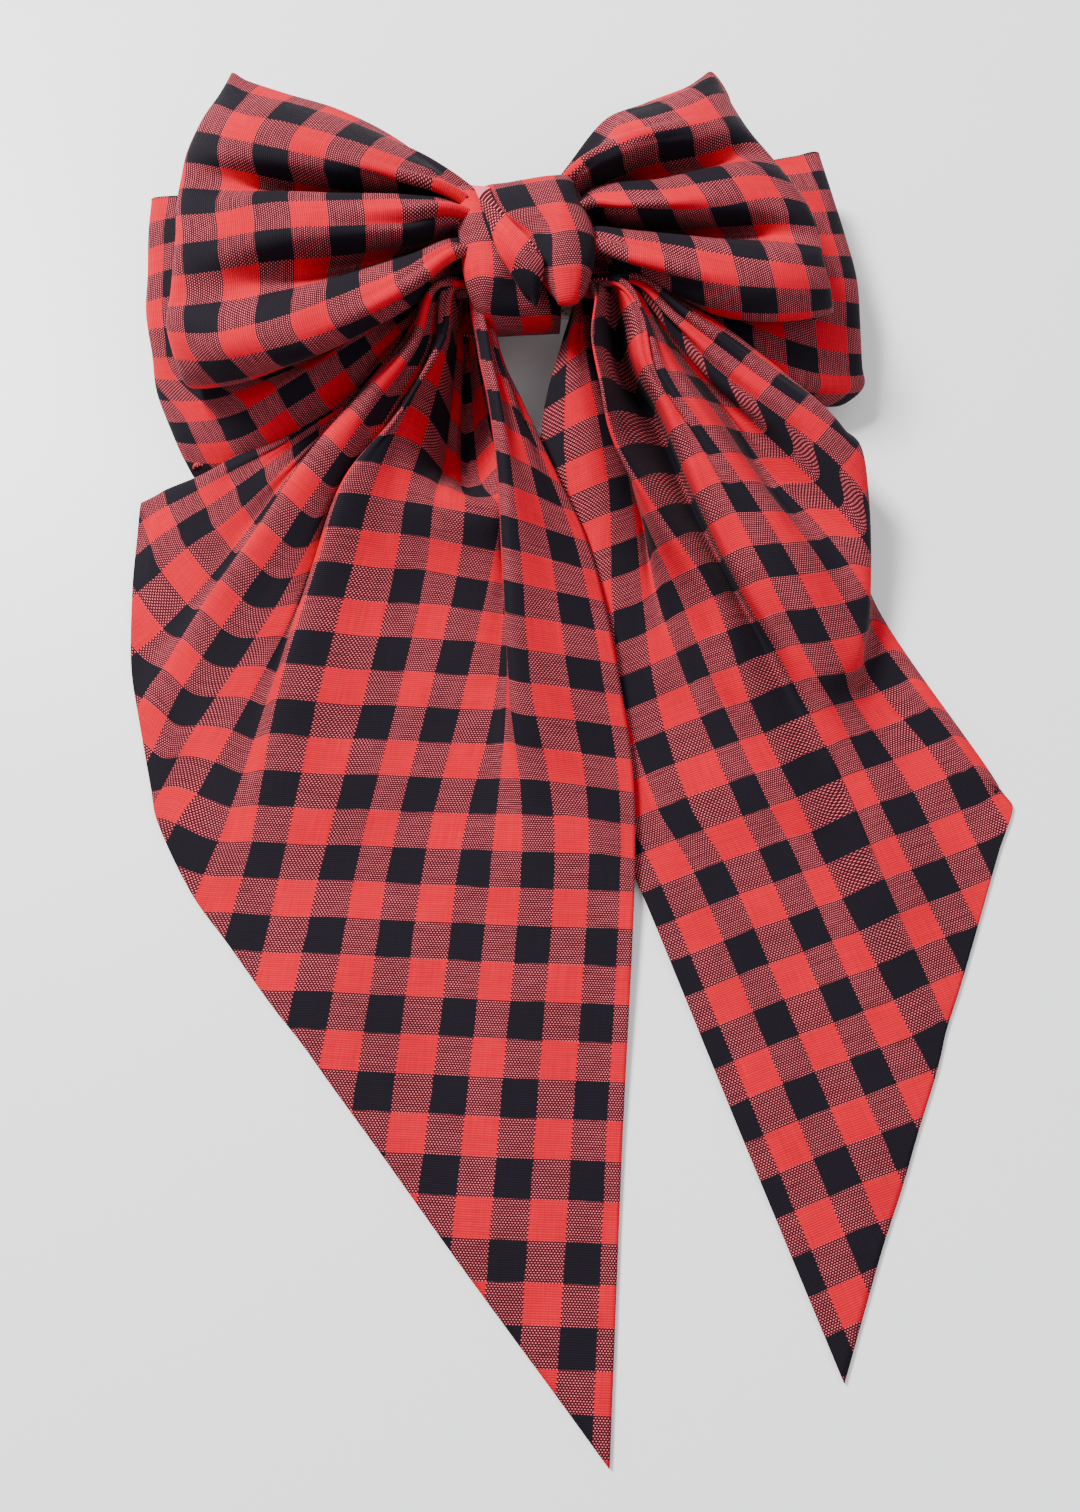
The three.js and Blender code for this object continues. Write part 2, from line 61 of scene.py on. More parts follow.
# All tables below are in millimetres: across, along, and height above the tabletop. The nine tables that
# shape the visible cloth, LEFT_TAIL to KNOT_CORE_FRONT, were made outside this script, and some of
# their points were edited afterwards.
MM = 0.001
TABLE_Z = -4.0
CHECK_ACROSS = 9.5
CHECK_ALONG = 10.1
CLOTH = 0.7

LEFT_TAIL = [
    (0, [(-10, -7, 25), (-7.5, -24.5, 22), (-0.5, -40, 18), (9, -60.5, 15), (18, -80.5, 12),
        (26.5, -120, 9), (30.5, -164.5, 5), (25.5, -251, 1.2), (21.5, -322, 1)]),
    (1.5, [(-11.5, -7.5, 27), (-9.5, -25.5, 25), (-4.5, -42, 23), (1.5, -62, 20.5), (6.5, -83.5, 17),
        (12, -122.5, 12.5), (17.5, -166, 5), (12.5, -242.5, 1.2), (8, -305, 1)]),
    (3.1, [(-13.5, -8, 29), (-12, -27, 28), (-9, -43.5, 27), (-6.5, -64, 25), (-5, -86.5, 22),
        (-3, -124.5, 15), (2.5, -166, 5), (-2.5, -232.5, 1.2), (-6.5, -287, 1)]),
    (4.2, [(-15, -5, 24), (-13.5, -23, 21), (-10.5, -39.5, 19), (-7.5, -61, 18), (-6.5, -84, 14.5),
        (-4.5, -123.5, 9.5), (-6.5, -166, 4), (-12, -225.5, 1.2), (-16.5, -274.5, 1)]),
    (5.2, [(-15.5, -2.5, 18), (-14.5, -18.5, 12), (-11, -33.5, 7), (-6.5, -61.5, 8), (-5.5, -82, 7),
        (-6.5, -123.5, 6), (-15, -166.5, 3), (-20.5, -219.5, 1.2), (-25.5, -263, 1)]),
    (6.4, [(-17.5, -1.5, 14), (-17, -17, 7), (-14, -52, 3), (-7.5, -69.5, 12.5), (-9, -84, 8),
        (-17, -124, 5.5), (-26.5, -166.5, 2.5), (-32, -212, 1.2), (-36, -249.5, 1)]),
    (8.1, [(-18.5, -6, 22), (-20.5, -22.5, 9), (-23, -51.5, 3), (-23.5, -67.5, 14), (-25.5, -85.5, 9),
        (-33, -125, 6), (-42.5, -166.5, 2.5), (-47.5, -201.5, 1.2), (-51.5, -230, 1)]),
    (9.1, [(-19, -8, 26), (-21.5, -20, 17), (-26.5, -45, 8), (-30.5, -66.5, 15), (-33.5, -86.5, 10),
        (-41.5, -125.5, 6.5), (-51, -166.5, 2.5), (-56.5, -195, 1.2), (-60.5, -218.5, 1)]),
    (9.8, [(-19.5, -9, 29), (-22.5, -21, 26), (-30, -39, 19), (-36.5, -65, 16.5), (-41, -87.5, 11.5),
        (-49.5, -126, 7), (-59, -166.5, 2.5), (-63.5, -191, 1.2), (-67, -211, 1)]),
    (11.4, [(-21, -9.5, 31), (-24.5, -27, 28), (-35, -45.5, 24), (-50, -64.5, 21), (-58, -87.5, 15.5),
        (-68.5, -123, 9), (-75, -163, 2.5), (-78.5, -179.5, 1.2), (-81.5, -192.5, 1)]),
    (12.5, [(-22.5, -6, 24), (-27.5, -24, 20), (-40, -43, 16), (-53.5, -63, 13.5), (-62, -90.5, 10),
        (-73, -124.5, 5), (-83.5, -158.5, 2), (-88, -170.5, 1.2), (-91.5, -180, 1)]),
    (13.9, [(-22.5, -8, 28), (-28.5, -25.5, 23), (-39.5, -44.5, 18), (-54, -65.5, 14.5), (-64.5, -93, 10),
        (-78.5, -118.5, 5.5), (-92.5, -141.5, 2), (-98, -150, 1.5), (-103, -159, 1)]),
    (15, [(-23.5, -10, 32), (-29.5, -27, 28), (-41, -44.5, 23), (-54, -64.5, 18.5), (-69, -87.5, 12.5),
        (-85, -110.5, 6.5), (-97, -127.5, 2.5), (-101, -138.5, 2), (-105.5, -149.5, 1)]),
    (16.3, [(-24.5, -11, 34), (-32, -26.5, 31), (-44.5, -40, 27), (-61, -58, 22), (-76, -78.5, 16),
        (-90, -96.5, 10), (-103, -116, 4), (-107, -122, 3), (-110.5, -128.5, 1.5)]),
    (17.2, [(-25, -6, 26), (-33, -22, 23), (-46.5, -36.5, 19), (-64, -55, 14), (-79.5, -76.5, 10),
        (-93, -94.5, 6.5), (-106, -108.5, 3), (-110, -112, 2), (-113.5, -115.5, 1.5)]),
    (18.6, [(-25.5, -3, 22), (-34.5, -18, 18), (-49, -36, 15), (-68.5, -55.5, 13), (-84.5, -70, 11),
        (-99, -79, 8), (-108, -86, 5), (-111.5, -88.5, 3.5), (-115, -91, 2)]),
    (20, [(-26, -1.5, 20), (-35.5, -15.5, 15), (-50, -34.5, 13), (-70.5, -50, 13), (-86.5, -61, 12),
        (-99, -68.5, 10), (-107.5, -72, 7), (-111, -73.5, 5), (-114.5, -75, 3)]),
    (21.4, [(-26, 0, 18), (-36.5, -13.5, 13), (-51, -33, 11.5), (-70, -47.5, 13), (-83, -53, 12.5),
        (-95, -58.5, 10.5), (-105, -61.5, 8), (-109, -63, 6.5), (-113.5, -64.5, 5)]),
    (22.3, [(-26.5, 2.5, 14), (-36, -8, 9.5), (-51, -25, 8), (-70, -39, 8), (-84, -48.5, 7.5),
        (-96, -59, 5.5), (-105.5, -62.5, 4), (-109.5, -64, 3), (-113.5, -65, 2)]),
]

RIGHT_TAIL = [
    (0, [(14, -8.5, 22), (11, -20, 20), (7, -33, 17), (4.5, -46.5, 13), (5, -65.5, 9), (9, -92, 6),
        (11, -121.5, 4), (19.5, -151.5, 3), (32.5, -179.5, 2), (59, -247, 1.2), (81, -302.5, 1)]),
    (1.1, [(15.5, -10.5, 26), (15.5, -21, 24), (16.5, -33.5, 21), (18, -49.5, 17), (20, -67, 13),
        (20.5, -93, 9), (23, -122, 6), (32, -152, 3.5), (45, -179, 2), (68, -239, 1.2), (86.5, -287.5, 1)]),
    (2.4, [(17, -7, 22), (19, -19, 18), (22, -31.5, 15), (27, -47.5, 12), (30.5, -67.5, 10),
        (32.5, -92.5, 8), (35.5, -122, 6), (43.5, -152, 3.5), (56, -175.5, 2), (76.5, -227.5, 1.2),
        (93, -270, 1)]),
    (3.5, [(19, -4.5, 18), (21, -15.5, 13), (24, -30, 9), (29, -47, 8), (34, -68, 7), (38, -94.5, 7.5),
        (46.5, -122, 6), (58.5, -153, 3.5), (66.5, -171.5, 2), (84.5, -217.5, 1.2), (99, -255.5, 1)]),
    (4.4, [(20, -10, 29), (21, -24, 28), (22.5, -38.5, 26), (27, -52, 23), (32.5, -72.5, 19),
        (42, -94.5, 13), (53, -122.5, 8), (66.5, -153.5, 4), (74, -169, 2), (90, -210, 1.2),
        (103.5, -243.5, 1)]),
    (6.06, [(21.5, -10.5, 31), (22, -24.5, 29), (25, -37.5, 27), (31.5, -51.5, 24), (43.5, -73, 19),
        (57, -95, 14), (69, -123, 9), (82.5, -151, 4), (89, -163.5, 2), (101.5, -195, 1.2),
        (112, -221, 1)]),
    (6.3, [(23.5, -6.5, 26), (26, -16.5, 16), (29, -27, 11), (38.5, -41, 9), (48.5, -67.5, 9),
        (59.5, -91.5, 8), (72.5, -118, 6), (85, -145.5, 3.5), (92, -156, 2.3), (103.5, -190, 1.2),
        (113, -217.5, 1)]),
    (6.62, [(25, -9.5, 31), (29.5, -19.5, 30), (31.5, -32, 29), (39, -48, 27), (47.5, -69.5, 24),
        (57.5, -90.5, 20), (71.5, -112.5, 13), (84, -135, 6), (90, -149.5, 2.4), (103.5, -184.5, 1.2),
        (114.5, -213.5, 1)]),
    (7.04, [(26, -10, 31.5), (32, -20, 31), (34.5, -34, 30), (42.5, -48, 28), (51.5, -69, 25.5),
        (61.5, -91, 21.5), (75, -115, 14), (86, -132.5, 7), (94, -152, 2.5), (106.5, -182.5, 1.2),
        (117, -207.5, 1)]),
    (8.04, [(27, -10, 32), (33, -20, 31), (37, -36.5, 30), (45.5, -51.5, 28.5), (57, -69, 26),
        (70, -91.5, 22.5), (83, -116.5, 14.5), (90, -126.5, 6.5), (104, -152, 2.5), (114, -175, 1.2),
        (122, -194.5, 1)]),
    (9.04, [(28, -9.5, 31), (35, -20.5, 30), (42, -35.5, 29), (52.5, -51.5, 27.5), (64, -67.5, 25),
        (77, -88, 21.5), (91, -112, 13.5), (95.5, -121.5, 4), (112.5, -146, 2.5), (120.5, -165, 1.2),
        (127, -181, 1)]),
    (10.04, [(29.5, -7, 27), (37.5, -16.5, 23), (46.5, -28.5, 20), (57.5, -43.5, 18), (69.5, -64.5, 16.5),
        (84, -83, 16.5), (95, -101, 14), (99.5, -109.5, 4), (120.5, -140, 3), (127, -155, 1.2),
        (132, -167.5, 1)]),
    (11.04, [(30.5, -5.5, 25), (40, -16.5, 22), (49.5, -28, 19.5), (60, -43, 19), (71.5, -58.5, 19),
        (84.5, -74, 18.5), (96, -90.5, 15.5), (101, -99, 4.5), (129.5, -144.5, 3), (133.5, -149.5, 1.2),
        (137, -154, 1)]),
    (12.04, [(31, -8.5, 30), (41, -20, 28), (51.5, -34, 26.5), (63.5, -45, 26), (75, -54.5, 25),
        (86, -66, 23.5), (96.5, -77, 18.5), (100.5, -93, 3.5), (131, -146, 1.4), (129, -151.5, 1),
        (127.5, -157, 0.8)]),
    (13.04, [(31.5, -9, 32), (42, -20, 31), (53.5, -31, 30), (66.5, -42, 29.5), (79, -51.5, 28),
        (89.5, -59, 25.5), (96.5, -67.5, 20), (98, -89, 3), (125, -144, 1), (121.5, -152, 1),
        (118, -160.5, 0.8)]),
    (14.04, [(32.5, -9, 33), (44, -18, 32.5), (57, -27.5, 31), (70.5, -38.5, 30), (82.5, -46.5, 28),
        (90, -53, 25.5), (95.5, -58, 20.5), (95.5, -87, 2.5), (118.5, -144, 0.8), (114, -153, 1),
        (109.5, -162.5, 0.8)]),
    (15.6, [(35, -5, 26), (47.5, -12, 24), (59.5, -19, 22), (71, -27.5, 20), (81, -36, 17), (87.5, -44, 14),
        (90.5, -53.5, 11), (88, -86, 2), (105, -139.5, 0.8), (102, -153.5, 1), (99, -167.5, 0.8)]),
    (18.4, [(35.5, -2.5, 21), (48.5, -9, 17), (60, -17, 14), (70.5, -27, 11), (78, -39, 8), (81.5, -52, 5),
        (83, -65.5, 3), (80.5, -93.5, 1.5), (88.5, -134, 0.8), (85, -150.5, 1), (81, -167, 0.8)]),
    (21, [(36, -0.5, 17), (48, -7.5, 12), (57, -17.5, 8), (64.5, -30.5, 5), (69, -44.5, 3),
        (70.5, -60.5, 2), (71, -74.5, 1.5), (73, -99.5, 1), (76, -128, 0.8), (73, -145, 1),
        (70, -161.5, 0.8)]),
]

FRONT_LEFT = [
    (0, [(-21, 25.5, 27), (-36, 37, 31), (-54, 45.5, 34), (-70, 49.5, 36), (-81, 52.5, 37.5),
        (-85.5, 55.5, 37)]),
    (1.1, [(-20.5, 23, 33), (-36, 29.5, 37.5), (-52.5, 34.5, 40), (-68, 38.5, 41.5), (-79.5, 40.5, 42),
        (-88, 47, 38.5)]),
    (2.2, [(-19.5, 15.5, 38), (-35, 18, 42), (-51.5, 22.5, 44), (-67, 26, 45), (-81, 30, 44.5),
        (-92, 37, 40)]),
    (3.1, [(-19.5, 17.5, 33), (-35.5, 17.5, 38), (-52, 18, 41), (-68, 19.5, 43.5), (-83.5, 22, 44.5),
        (-95, 26, 41)]),
    (4.1, [(-20.5, 24, 19), (-36.5, 22.5, 22), (-54.5, 21.5, 27), (-70.5, 19, 33.5), (-83.5, 17, 39.5),
        (-96, 17.5, 41)]),
    (5.1, [(-19.5, 15.5, 33), (-34, 14, 38), (-52, 11.5, 41.5), (-71.5, 10, 43.5), (-85.5, 7, 44),
        (-96.5, 8, 42)]),
    (6.2, [(-19, 7, 39), (-33, 4, 43), (-51, 1.5, 45), (-70.5, 0, 45), (-84.5, -2.5, 44.5), (-96, -2, 42)]),
    (7.2, [(-19.5, 7, 34), (-32.5, 0, 39), (-52, -4, 41.5), (-71.5, -7, 43.5), (-85.5, -10.5, 43.5),
        (-96.5, -10.5, 41)]),
    (8.1, [(-20, 13, 19), (-33.5, 6.5, 23), (-52, -2.5, 28), (-69.5, -11, 35), (-85, -17.5, 40),
        (-97, -18.5, 39.5)]),
    (9.1, [(-19, 4, 33), (-32.5, -6, 38), (-49, -15.5, 41), (-67.5, -24.5, 42.5), (-85, -28, 42),
        (-98, -26, 38.5)]),
    (10.2, [(-18, -3, 38), (-32, -16.5, 41.5), (-48.5, -27, 43), (-68.5, -34, 42.5), (-85, -36, 39.5),
        (-97.5, -31.5, 35)]),
    (11.1, [(-18.5, -0.5, 31), (-31.5, -17, 36), (-49, -31, 38.5), (-65, -37.5, 38), (-82.5, -39, 34.5),
        (-96, -37.5, 30)]),
    (11.9, [(-19, 2.5, 24), (-31.5, -14, 29), (-50, -27.5, 31), (-66, -35, 31), (-82, -39, 28),
        (-95.5, -37.5, 24)]),
    (13.3, [(-20, 7.5, 20), (-33.5, -6.5, 23), (-52, -18, 24), (-69, -24.5, 24), (-83, -29.5, 23.5),
        (-94.5, -30.5, 22)]),
]
FRONT_RIGHT = [
    (0, [(13.5, 30.5, 27), (22.5, 43.5, 31), (35, 47.5, 34.5), (46.5, 50.5, 37), (51, 53, 38),
        (54, 55.5, 37.5)]),
    (1.1, [(15, 28, 33), (24.5, 37.5, 38), (37.5, 40, 41), (47.5, 43.5, 42), (52, 47, 41.5), (56, 50, 38.5)]),
    (2.1, [(15.5, 23.5, 38), (24.5, 28.5, 42), (36, 30.5, 44.5), (48, 33.5, 45.5), (54.5, 37.5, 44),
        (59, 41.5, 40)]),
    (3.1, [(16.5, 20, 38), (24.5, 22, 41), (36.5, 25.5, 43.5), (50, 26.5, 45.5), (58, 29.5, 45),
        (63.5, 32, 41)]),
    (4, [(17.5, 25.5, 21), (26, 28.5, 23), (35.5, 27.5, 28.5), (50.5, 25, 36), (61.5, 25, 40.5),
        (68.5, 24.5, 41)]),
    (5.1, [(18, 20, 32), (26, 19.5, 36), (40, 17, 40), (55, 18, 43.5), (64.5, 17.5, 44.5), (73, 16, 42.5)]),
    (6.1, [(18.5, 10, 39), (27, 7, 43), (39.5, 6, 45), (52.5, 7.5, 45.5), (66.5, 11, 45),
        (76.5, 10.5, 42.5)]),
    (7.1, [(19, 11, 33), (28, 7.5, 37), (43.5, 5, 39.5), (58.5, 4.5, 42), (70.5, 4.5, 43.5),
        (79.5, 4.5, 41.5)]),
    (8.1, [(19.5, 17, 18), (29, 13.5, 21), (44.5, 10, 25.5), (59, 5.5, 32), (71, 0.5, 38.5),
        (81.5, -1.5, 39.5)]),
    (9.1, [(19, 7.5, 33), (28.5, 2.5, 38), (45, -2, 41), (60.5, -6, 42.5), (71.5, -7.5, 42.5),
        (82, -7.5, 40)]),
    (10.1, [(19, -0.5, 38), (28.5, -6, 41), (41, -11, 43), (54.5, -14, 43), (69.5, -15, 42),
        (83.5, -13, 38)]),
    (11.1, [(19.5, 1, 32), (30, -6, 35), (43, -14.5, 37.5), (55.5, -19, 38.5), (70.5, -19.5, 38),
        (85, -16.5, 34.5)]),
    (12, [(20, 4, 26), (32, -3, 28.5), (45, -14, 30), (57.5, -20, 31), (72.5, -21, 31), (86.5, -17.5, 29)]),
    (13.3, [(19.5, 9.5, 21), (32, 5, 23), (46, -4.5, 24), (59, -10, 24), (74.5, -11, 24), (86.5, -9, 24)]),
]
REAR_LEFT = [
    (0.3, [(-21.5, 27.5, 18), (-41, 32, 18), (-62.5, 33, 18.5), (-83.5, 31, 19), (-103, 30, 18),
        (-114, 30.5, 15)]),
    (1.7, [(-21, 22, 20.5), (-40.5, 22.5, 21), (-61, 21, 22), (-82, 19.5, 22), (-101.5, 18, 20.5),
        (-113.5, 17.5, 16.5)]),
    (3.15, [(-21, 18, 20.5), (-40.5, 14.5, 21.5), (-61, 11.5, 22), (-81.5, 8, 22), (-100.5, 5, 21),
        (-112.5, 3.5, 17)]),
    (4.75, [(-20.5, 14, 20.5), (-39.5, 6.5, 21.5), (-59.5, 0, 22), (-80, -6, 22), (-99, -10, 20.5),
        (-112, -10, 17)]),
    (6.1, [(-20, 10, 21), (-38, -2, 22), (-57, -11.5, 22), (-77.5, -20, 22), (-96, -24, 20),
        (-110, -21.5, 15.5)]),
    (7.95, [(-19.5, 6.5, 21.5), (-36, -9.5, 22.5), (-54, -23.5, 22.5), (-73.5, -32.5, 21.5),
        (-92, -37, 18.5), (-108.5, -33, 13)]),
    (9.5, [(-19.5, 3.5, 22), (-33, -10, 23), (-48, -23, 23.5), (-65.5, -36, 22.5), (-85, -45.5, 17.5),
        (-105, -42.5, 10)]),
    (11, [(-19.5, 3, 20), (-35, -16, 18.5), (-52, -35, 16), (-70, -46.5, 14), (-86, -53, 10.5),
        (-101.5, -50.5, 7)]),
    (12.2, [(-20.5, 2, 15), (-37, -20, 11), (-55, -39.5, 8), (-73, -50, 7), (-87, -55, 6), (-98, -56.5, 5)]),
    (13.3, [(-21, 2, 12), (-38, -21, 7.5), (-56.5, -40, 4.5), (-75, -51, 4), (-88.5, -54, 4),
        (-97.5, -54.5, 4)]),
]
REAR_RIGHT = [
    (0, [(19.5, 27.5, 18), (34.5, 32, 18), (52.5, 36.5, 19), (69.5, 39.5, 20), (81.5, 42, 20),
        (89, 44.5, 18.5)]),
    (2, [(19, 22.5, 20.5), (34, 24.5, 21), (52, 26, 22.5), (69.5, 27, 23), (84.5, 28.5, 22),
        (92, 31.5, 18.5)]),
    (4, [(19, 19, 20.5), (34, 18, 21.5), (51.5, 16.5, 22.5), (70, 15, 23), (87.5, 14, 21.5),
        (95.5, 16.5, 18)]),
    (6, [(19, 15.5, 20.5), (34, 11.5, 21.5), (51.5, 7, 22.5), (70, 2.5, 23), (88.5, 0, 21), (98.5, 2, 17)]),
    (8, [(19, 11.5, 21), (34, 4, 22), (52, -3, 22), (71, -10.5, 22), (89, -14.5, 19.5), (99, -13.5, 15.5)]),
    (9.6, [(19, 8.5, 21), (35, -2.5, 22), (53, -13.5, 22), (71, -24, 21), (88.5, -27, 17.5),
        (99.5, -24.5, 13)]),
    (10.9, [(19, 7, 20), (35, -5.5, 20.5), (53, -19, 19.5), (71, -30, 17), (88.5, -33, 13.5),
        (100.5, -29.5, 9.5)]),
    (12, [(19, 8, 17), (34.5, -5, 16), (52.5, -19, 14), (69, -30.5, 11.5), (85.5, -34.5, 8.5), (95, -33, 7)]),
    (13.2, [(19.5, 10.5, 16), (35, -1, 14.5), (53, -13.5, 11), (70.5, -24, 7.5), (86.5, -28.5, 5.5),
        (95.5, -27.5, 4.5)]),
]
KNOT_WRAP = [
    (0.5, [(-12, 18, 30), (-12, 17.5, 36.5), (-6.5, 6.5, 40), (1.5, -3.5, 41), (4.5, -13, 39),
        (7.5, -16, 36), (8.5, -11.5, 30)]),
    (1, [(-9.5, 19, 30.5), (-9.5, 18, 37), (-4.5, 5, 42), (2.5, -2.5, 42.5), (5.5, -14, 41),
        (8.5, -18.5, 38), (9, -12.5, 30)]),
    (1.5, [(-5, 19, 31), (-5.5, 18, 37.5), (-0.5, 6, 43), (5.5, -3, 43.5), (7, -14.5, 42.5), (9, -20, 39),
        (9.5, -13, 30)]),
    (2, [(-1, 19.5, 31.5), (-1, 18.5, 38), (3, 6.5, 43.5), (7.5, -3.5, 44.5), (8, -15, 43.5),
        (9.5, -21.5, 40), (10, -14, 31)]),
    (3, [(7, 21, 31.5), (7.5, 20, 38), (11, 7.5, 43.5), (14.5, -3.5, 44.5), (15.5, -14, 43),
        (14.5, -20.5, 39.5), (14, -13.5, 31)]),
    (3.45, [(11, 22, 30.5), (11.5, 21, 37), (14, 9, 41.5), (18, -1.5, 42), (18, -11.5, 40.5),
        (16.5, -16.5, 37), (15.5, -12, 31)]),
    (4.2, [(13.5, 24.5, 24.5), (13.5, 23.5, 31), (16.5, 14, 34), (19.5, 5, 33), (19, -5, 32), (17, -10, 30),
        (16, -8, 27)]),
]
KNOT_FLAP = [
    (0, [(-15, 18.5, 31), (-15, 17.5, 37), (-12, 8, 41.5), (-9.5, 0.5, 42.5), (-7.5, -7, 42.5),
        (-4.5, -12, 41.5), (-1, -17, 39), (3, -19.5, 35.5)]),
    (0.5, [(-12.5, 17.5, 32), (-12.5, 16.5, 38), (-10, 7.5, 43), (-7.5, 0.5, 44.5), (-4, -6, 46),
        (-0.5, -12.5, 46), (2, -17, 43.5), (3, -21, 38)]),
    (1, [(-10, 17, 32), (-10, 16, 38), (-8.5, 8, 43), (-5, 2.5, 44), (-2, -2, 45), (1.5, -6.5, 46),
        (5, -12, 45), (3.5, -20, 38)]),
]
KNOT_CORE_FRONT = [
    (0, [(-20.5, 20.5, 33), (-19.5, 10.5, 35), (-18, -1.5, 36), (-16.5, -11.5, 34.5), (-14, -16.5, 30),
        (-9, -19.5, 22)]),
    (0.5, [(-16.5, 19, 35.5), (-16, 8, 38.5), (-13.5, -3.5, 39.5), (-12, -14, 38), (-11.5, -18.5, 32.5),
        (-8.5, -20.5, 24)]),
    (1, [(-12.5, 18, 36), (-12, 7, 40), (-9, -3.5, 40.5), (-8.5, -13.5, 38.5), (-9.5, -19, 33),
        (-8, -20.5, 24.5)]),
    (2, [(-4, 19, 36), (-3, 7.5, 39.5), (-1.5, -3, 39.5), (-2.5, -12, 37), (-1.5, -18.5, 32.5),
        (-0.5, -19.5, 24.5)]),
    (3, [(5, 20.5, 36), (5.5, 8.5, 38.5), (6, -2, 38.5), (5.5, -11, 35.5), (7, -17, 31.5),
        (7.5, -18, 24.5)]),
    (3.4, [(10, 21.5, 35), (10.5, 9.5, 37), (11.5, 0, 36), (10.5, -9.5, 33), (10, -14, 29),
        (10, -16, 23.5)]),
]


def smooth_through(knots, values, at):
    """The curve through values at the knots, read at the places asked for: cubic pieces, whose slope
    at each knot is the three-point one, so that neither side of a fold pulls the other out of line."""
    knots = np.asarray(knots, float)
    values = np.asarray(values, float)
    at = np.asarray(at, float)
    gap = np.diff(knots).reshape((-1,) + (1,) * (values.ndim - 1))
    rise = np.diff(values, axis=0) / gap
    slope = np.empty_like(values)
    slope[0], slope[-1] = rise[0], rise[-1]
    slope[1:-1] = (rise[:-1] * gap[1:] + rise[1:] * gap[:-1]) / (gap[1:] + gap[:-1])
    i = np.clip(np.searchsorted(knots, at, "right") - 1, 0, len(knots) - 2)
    step = gap[i]
    t = (at - knots[i]).reshape(step.shape) / step
    return (
        (1 + 2 * t) * (1 - t) ** 2 * values[i]
        + t * (1 - t) ** 2 * step * slope[i]
        + t * t * (3 - 2 * t) * values[i + 1]
        + t * t * (t - 1) * step * slope[i + 1]
    )


def station_lengths(points):
    """How far along the cloth each station lies: the mean distance between stations, added up."""
    legs = np.linalg.norm(np.diff(points, axis=1), axis=2).mean(axis=0)
    return np.concatenate(([0.0], np.cumsum(legs)))


def rib_surface(ribs, per_check, step):
    """The cloth through a set of ribs. A rib is one thread line of the cloth, at its own number of
    checks from the long edge, given by points from the gather outwards. The surface is smooth along
    each rib and then smooth from rib to rib. Returns the checks and the points on the grid."""
    checks = np.array([rib[0] for rib in ribs], float)
    points = np.array([rib[1] for rib in ribs], float)
    lengths = station_lengths(points)
    along = np.linspace(0, lengths[-1], int(lengths[-1] / step) + 1)
    lines = smooth_through(lengths, points.transpose(1, 0, 2), along)
    across = np.linspace(checks[0], checks[-1], int((checks[-1] - checks[0]) * per_check) + 1)
    return across, smooth_through(checks, lines.transpose(1, 0, 2), across)


def normals_of(grid):
    """The unit normal at each grid point: the cross product of its two directions."""
    a = np.gradient(grid, axis=0)
    b = np.gradient(grid, axis=1)
    n = np.cross(a, b)
    return n / np.maximum(np.linalg.norm(n, axis=2, keepdims=True), 1e-9)


def softened(grid, rounds):
    """Each point moves halfway to the mean of its four neighbours, round after round, which takes
    the ruled look off a fold as a cloth's own stiffness does. Edge points keep their line."""
    out = grid.copy()
    for _ in range(rounds):
        mean = (out[:-2, 1:-1] + out[2:, 1:-1] + out[1:-1, :-2] + out[1:-1, 2:]) / 4
        out[1:-1, 1:-1] = (out[1:-1, 1:-1] + mean) / 2
    return out


def eased(value, start, end):
    """0 before start, 1 after end, and a smooth rise between them."""
    t = np.clip((value - start) / (end - start), 0, 1)
    return t * t * (3 - 2 * t)


def gathered(grid, across, pleat, share):
    """Pleats where the cloth is drawn in. With m millimetres between neighbouring checks, where the flat
    cloth has CHECK_ACROSS, a wave of one pleat per so many checks takes up the difference when its height
    is pleat * sqrt(2 * (CHECK_ACROSS^2 - m^2)) / (2 pi); share, a number or one for each grid point, says
    how much of it is taken up. The two long edges are left as they are."""
    spacing = np.linalg.norm(np.gradient(grid, axis=0), axis=2) / np.gradient(across)[:, None]
    for _ in range(12):
        spacing[1:-1] = (spacing[:-2] + spacing[2:]) / 2
        spacing[:, 1:-1] = (spacing[:, :-2] + spacing[:, 2:]) / 2
    missing = np.sqrt(2 * np.maximum(CHECK_ACROSS**2 - spacing**2, 0)) * pleat / (2 * math.pi)
    phase = across * 2 * math.pi / pleat + 1.1 * np.sin(across * 0.9 + pleat) + 0.5 * np.sin(across * 2.3)
    inside = eased(np.minimum(across - across[0], across[-1] - across), 0, 0.9)
    wave = (np.sin(phase) * inside)[:, None] * missing * share
    return grid + normals_of(grid) * wave[:, :, None]


def travelled(grid, from_end):
    """The distance walked along each thread line, in checks, from its last point or its first."""
    legs = np.linalg.norm(np.diff(grid, axis=1), axis=2)
    if from_end:
        legs = legs[:, ::-1]
    walked = np.concatenate((np.zeros((len(grid), 1)), np.cumsum(legs, axis=1)), axis=1)
    if from_end:
        walked = walked[:, ::-1]
    return walked / CHECK_ALONG


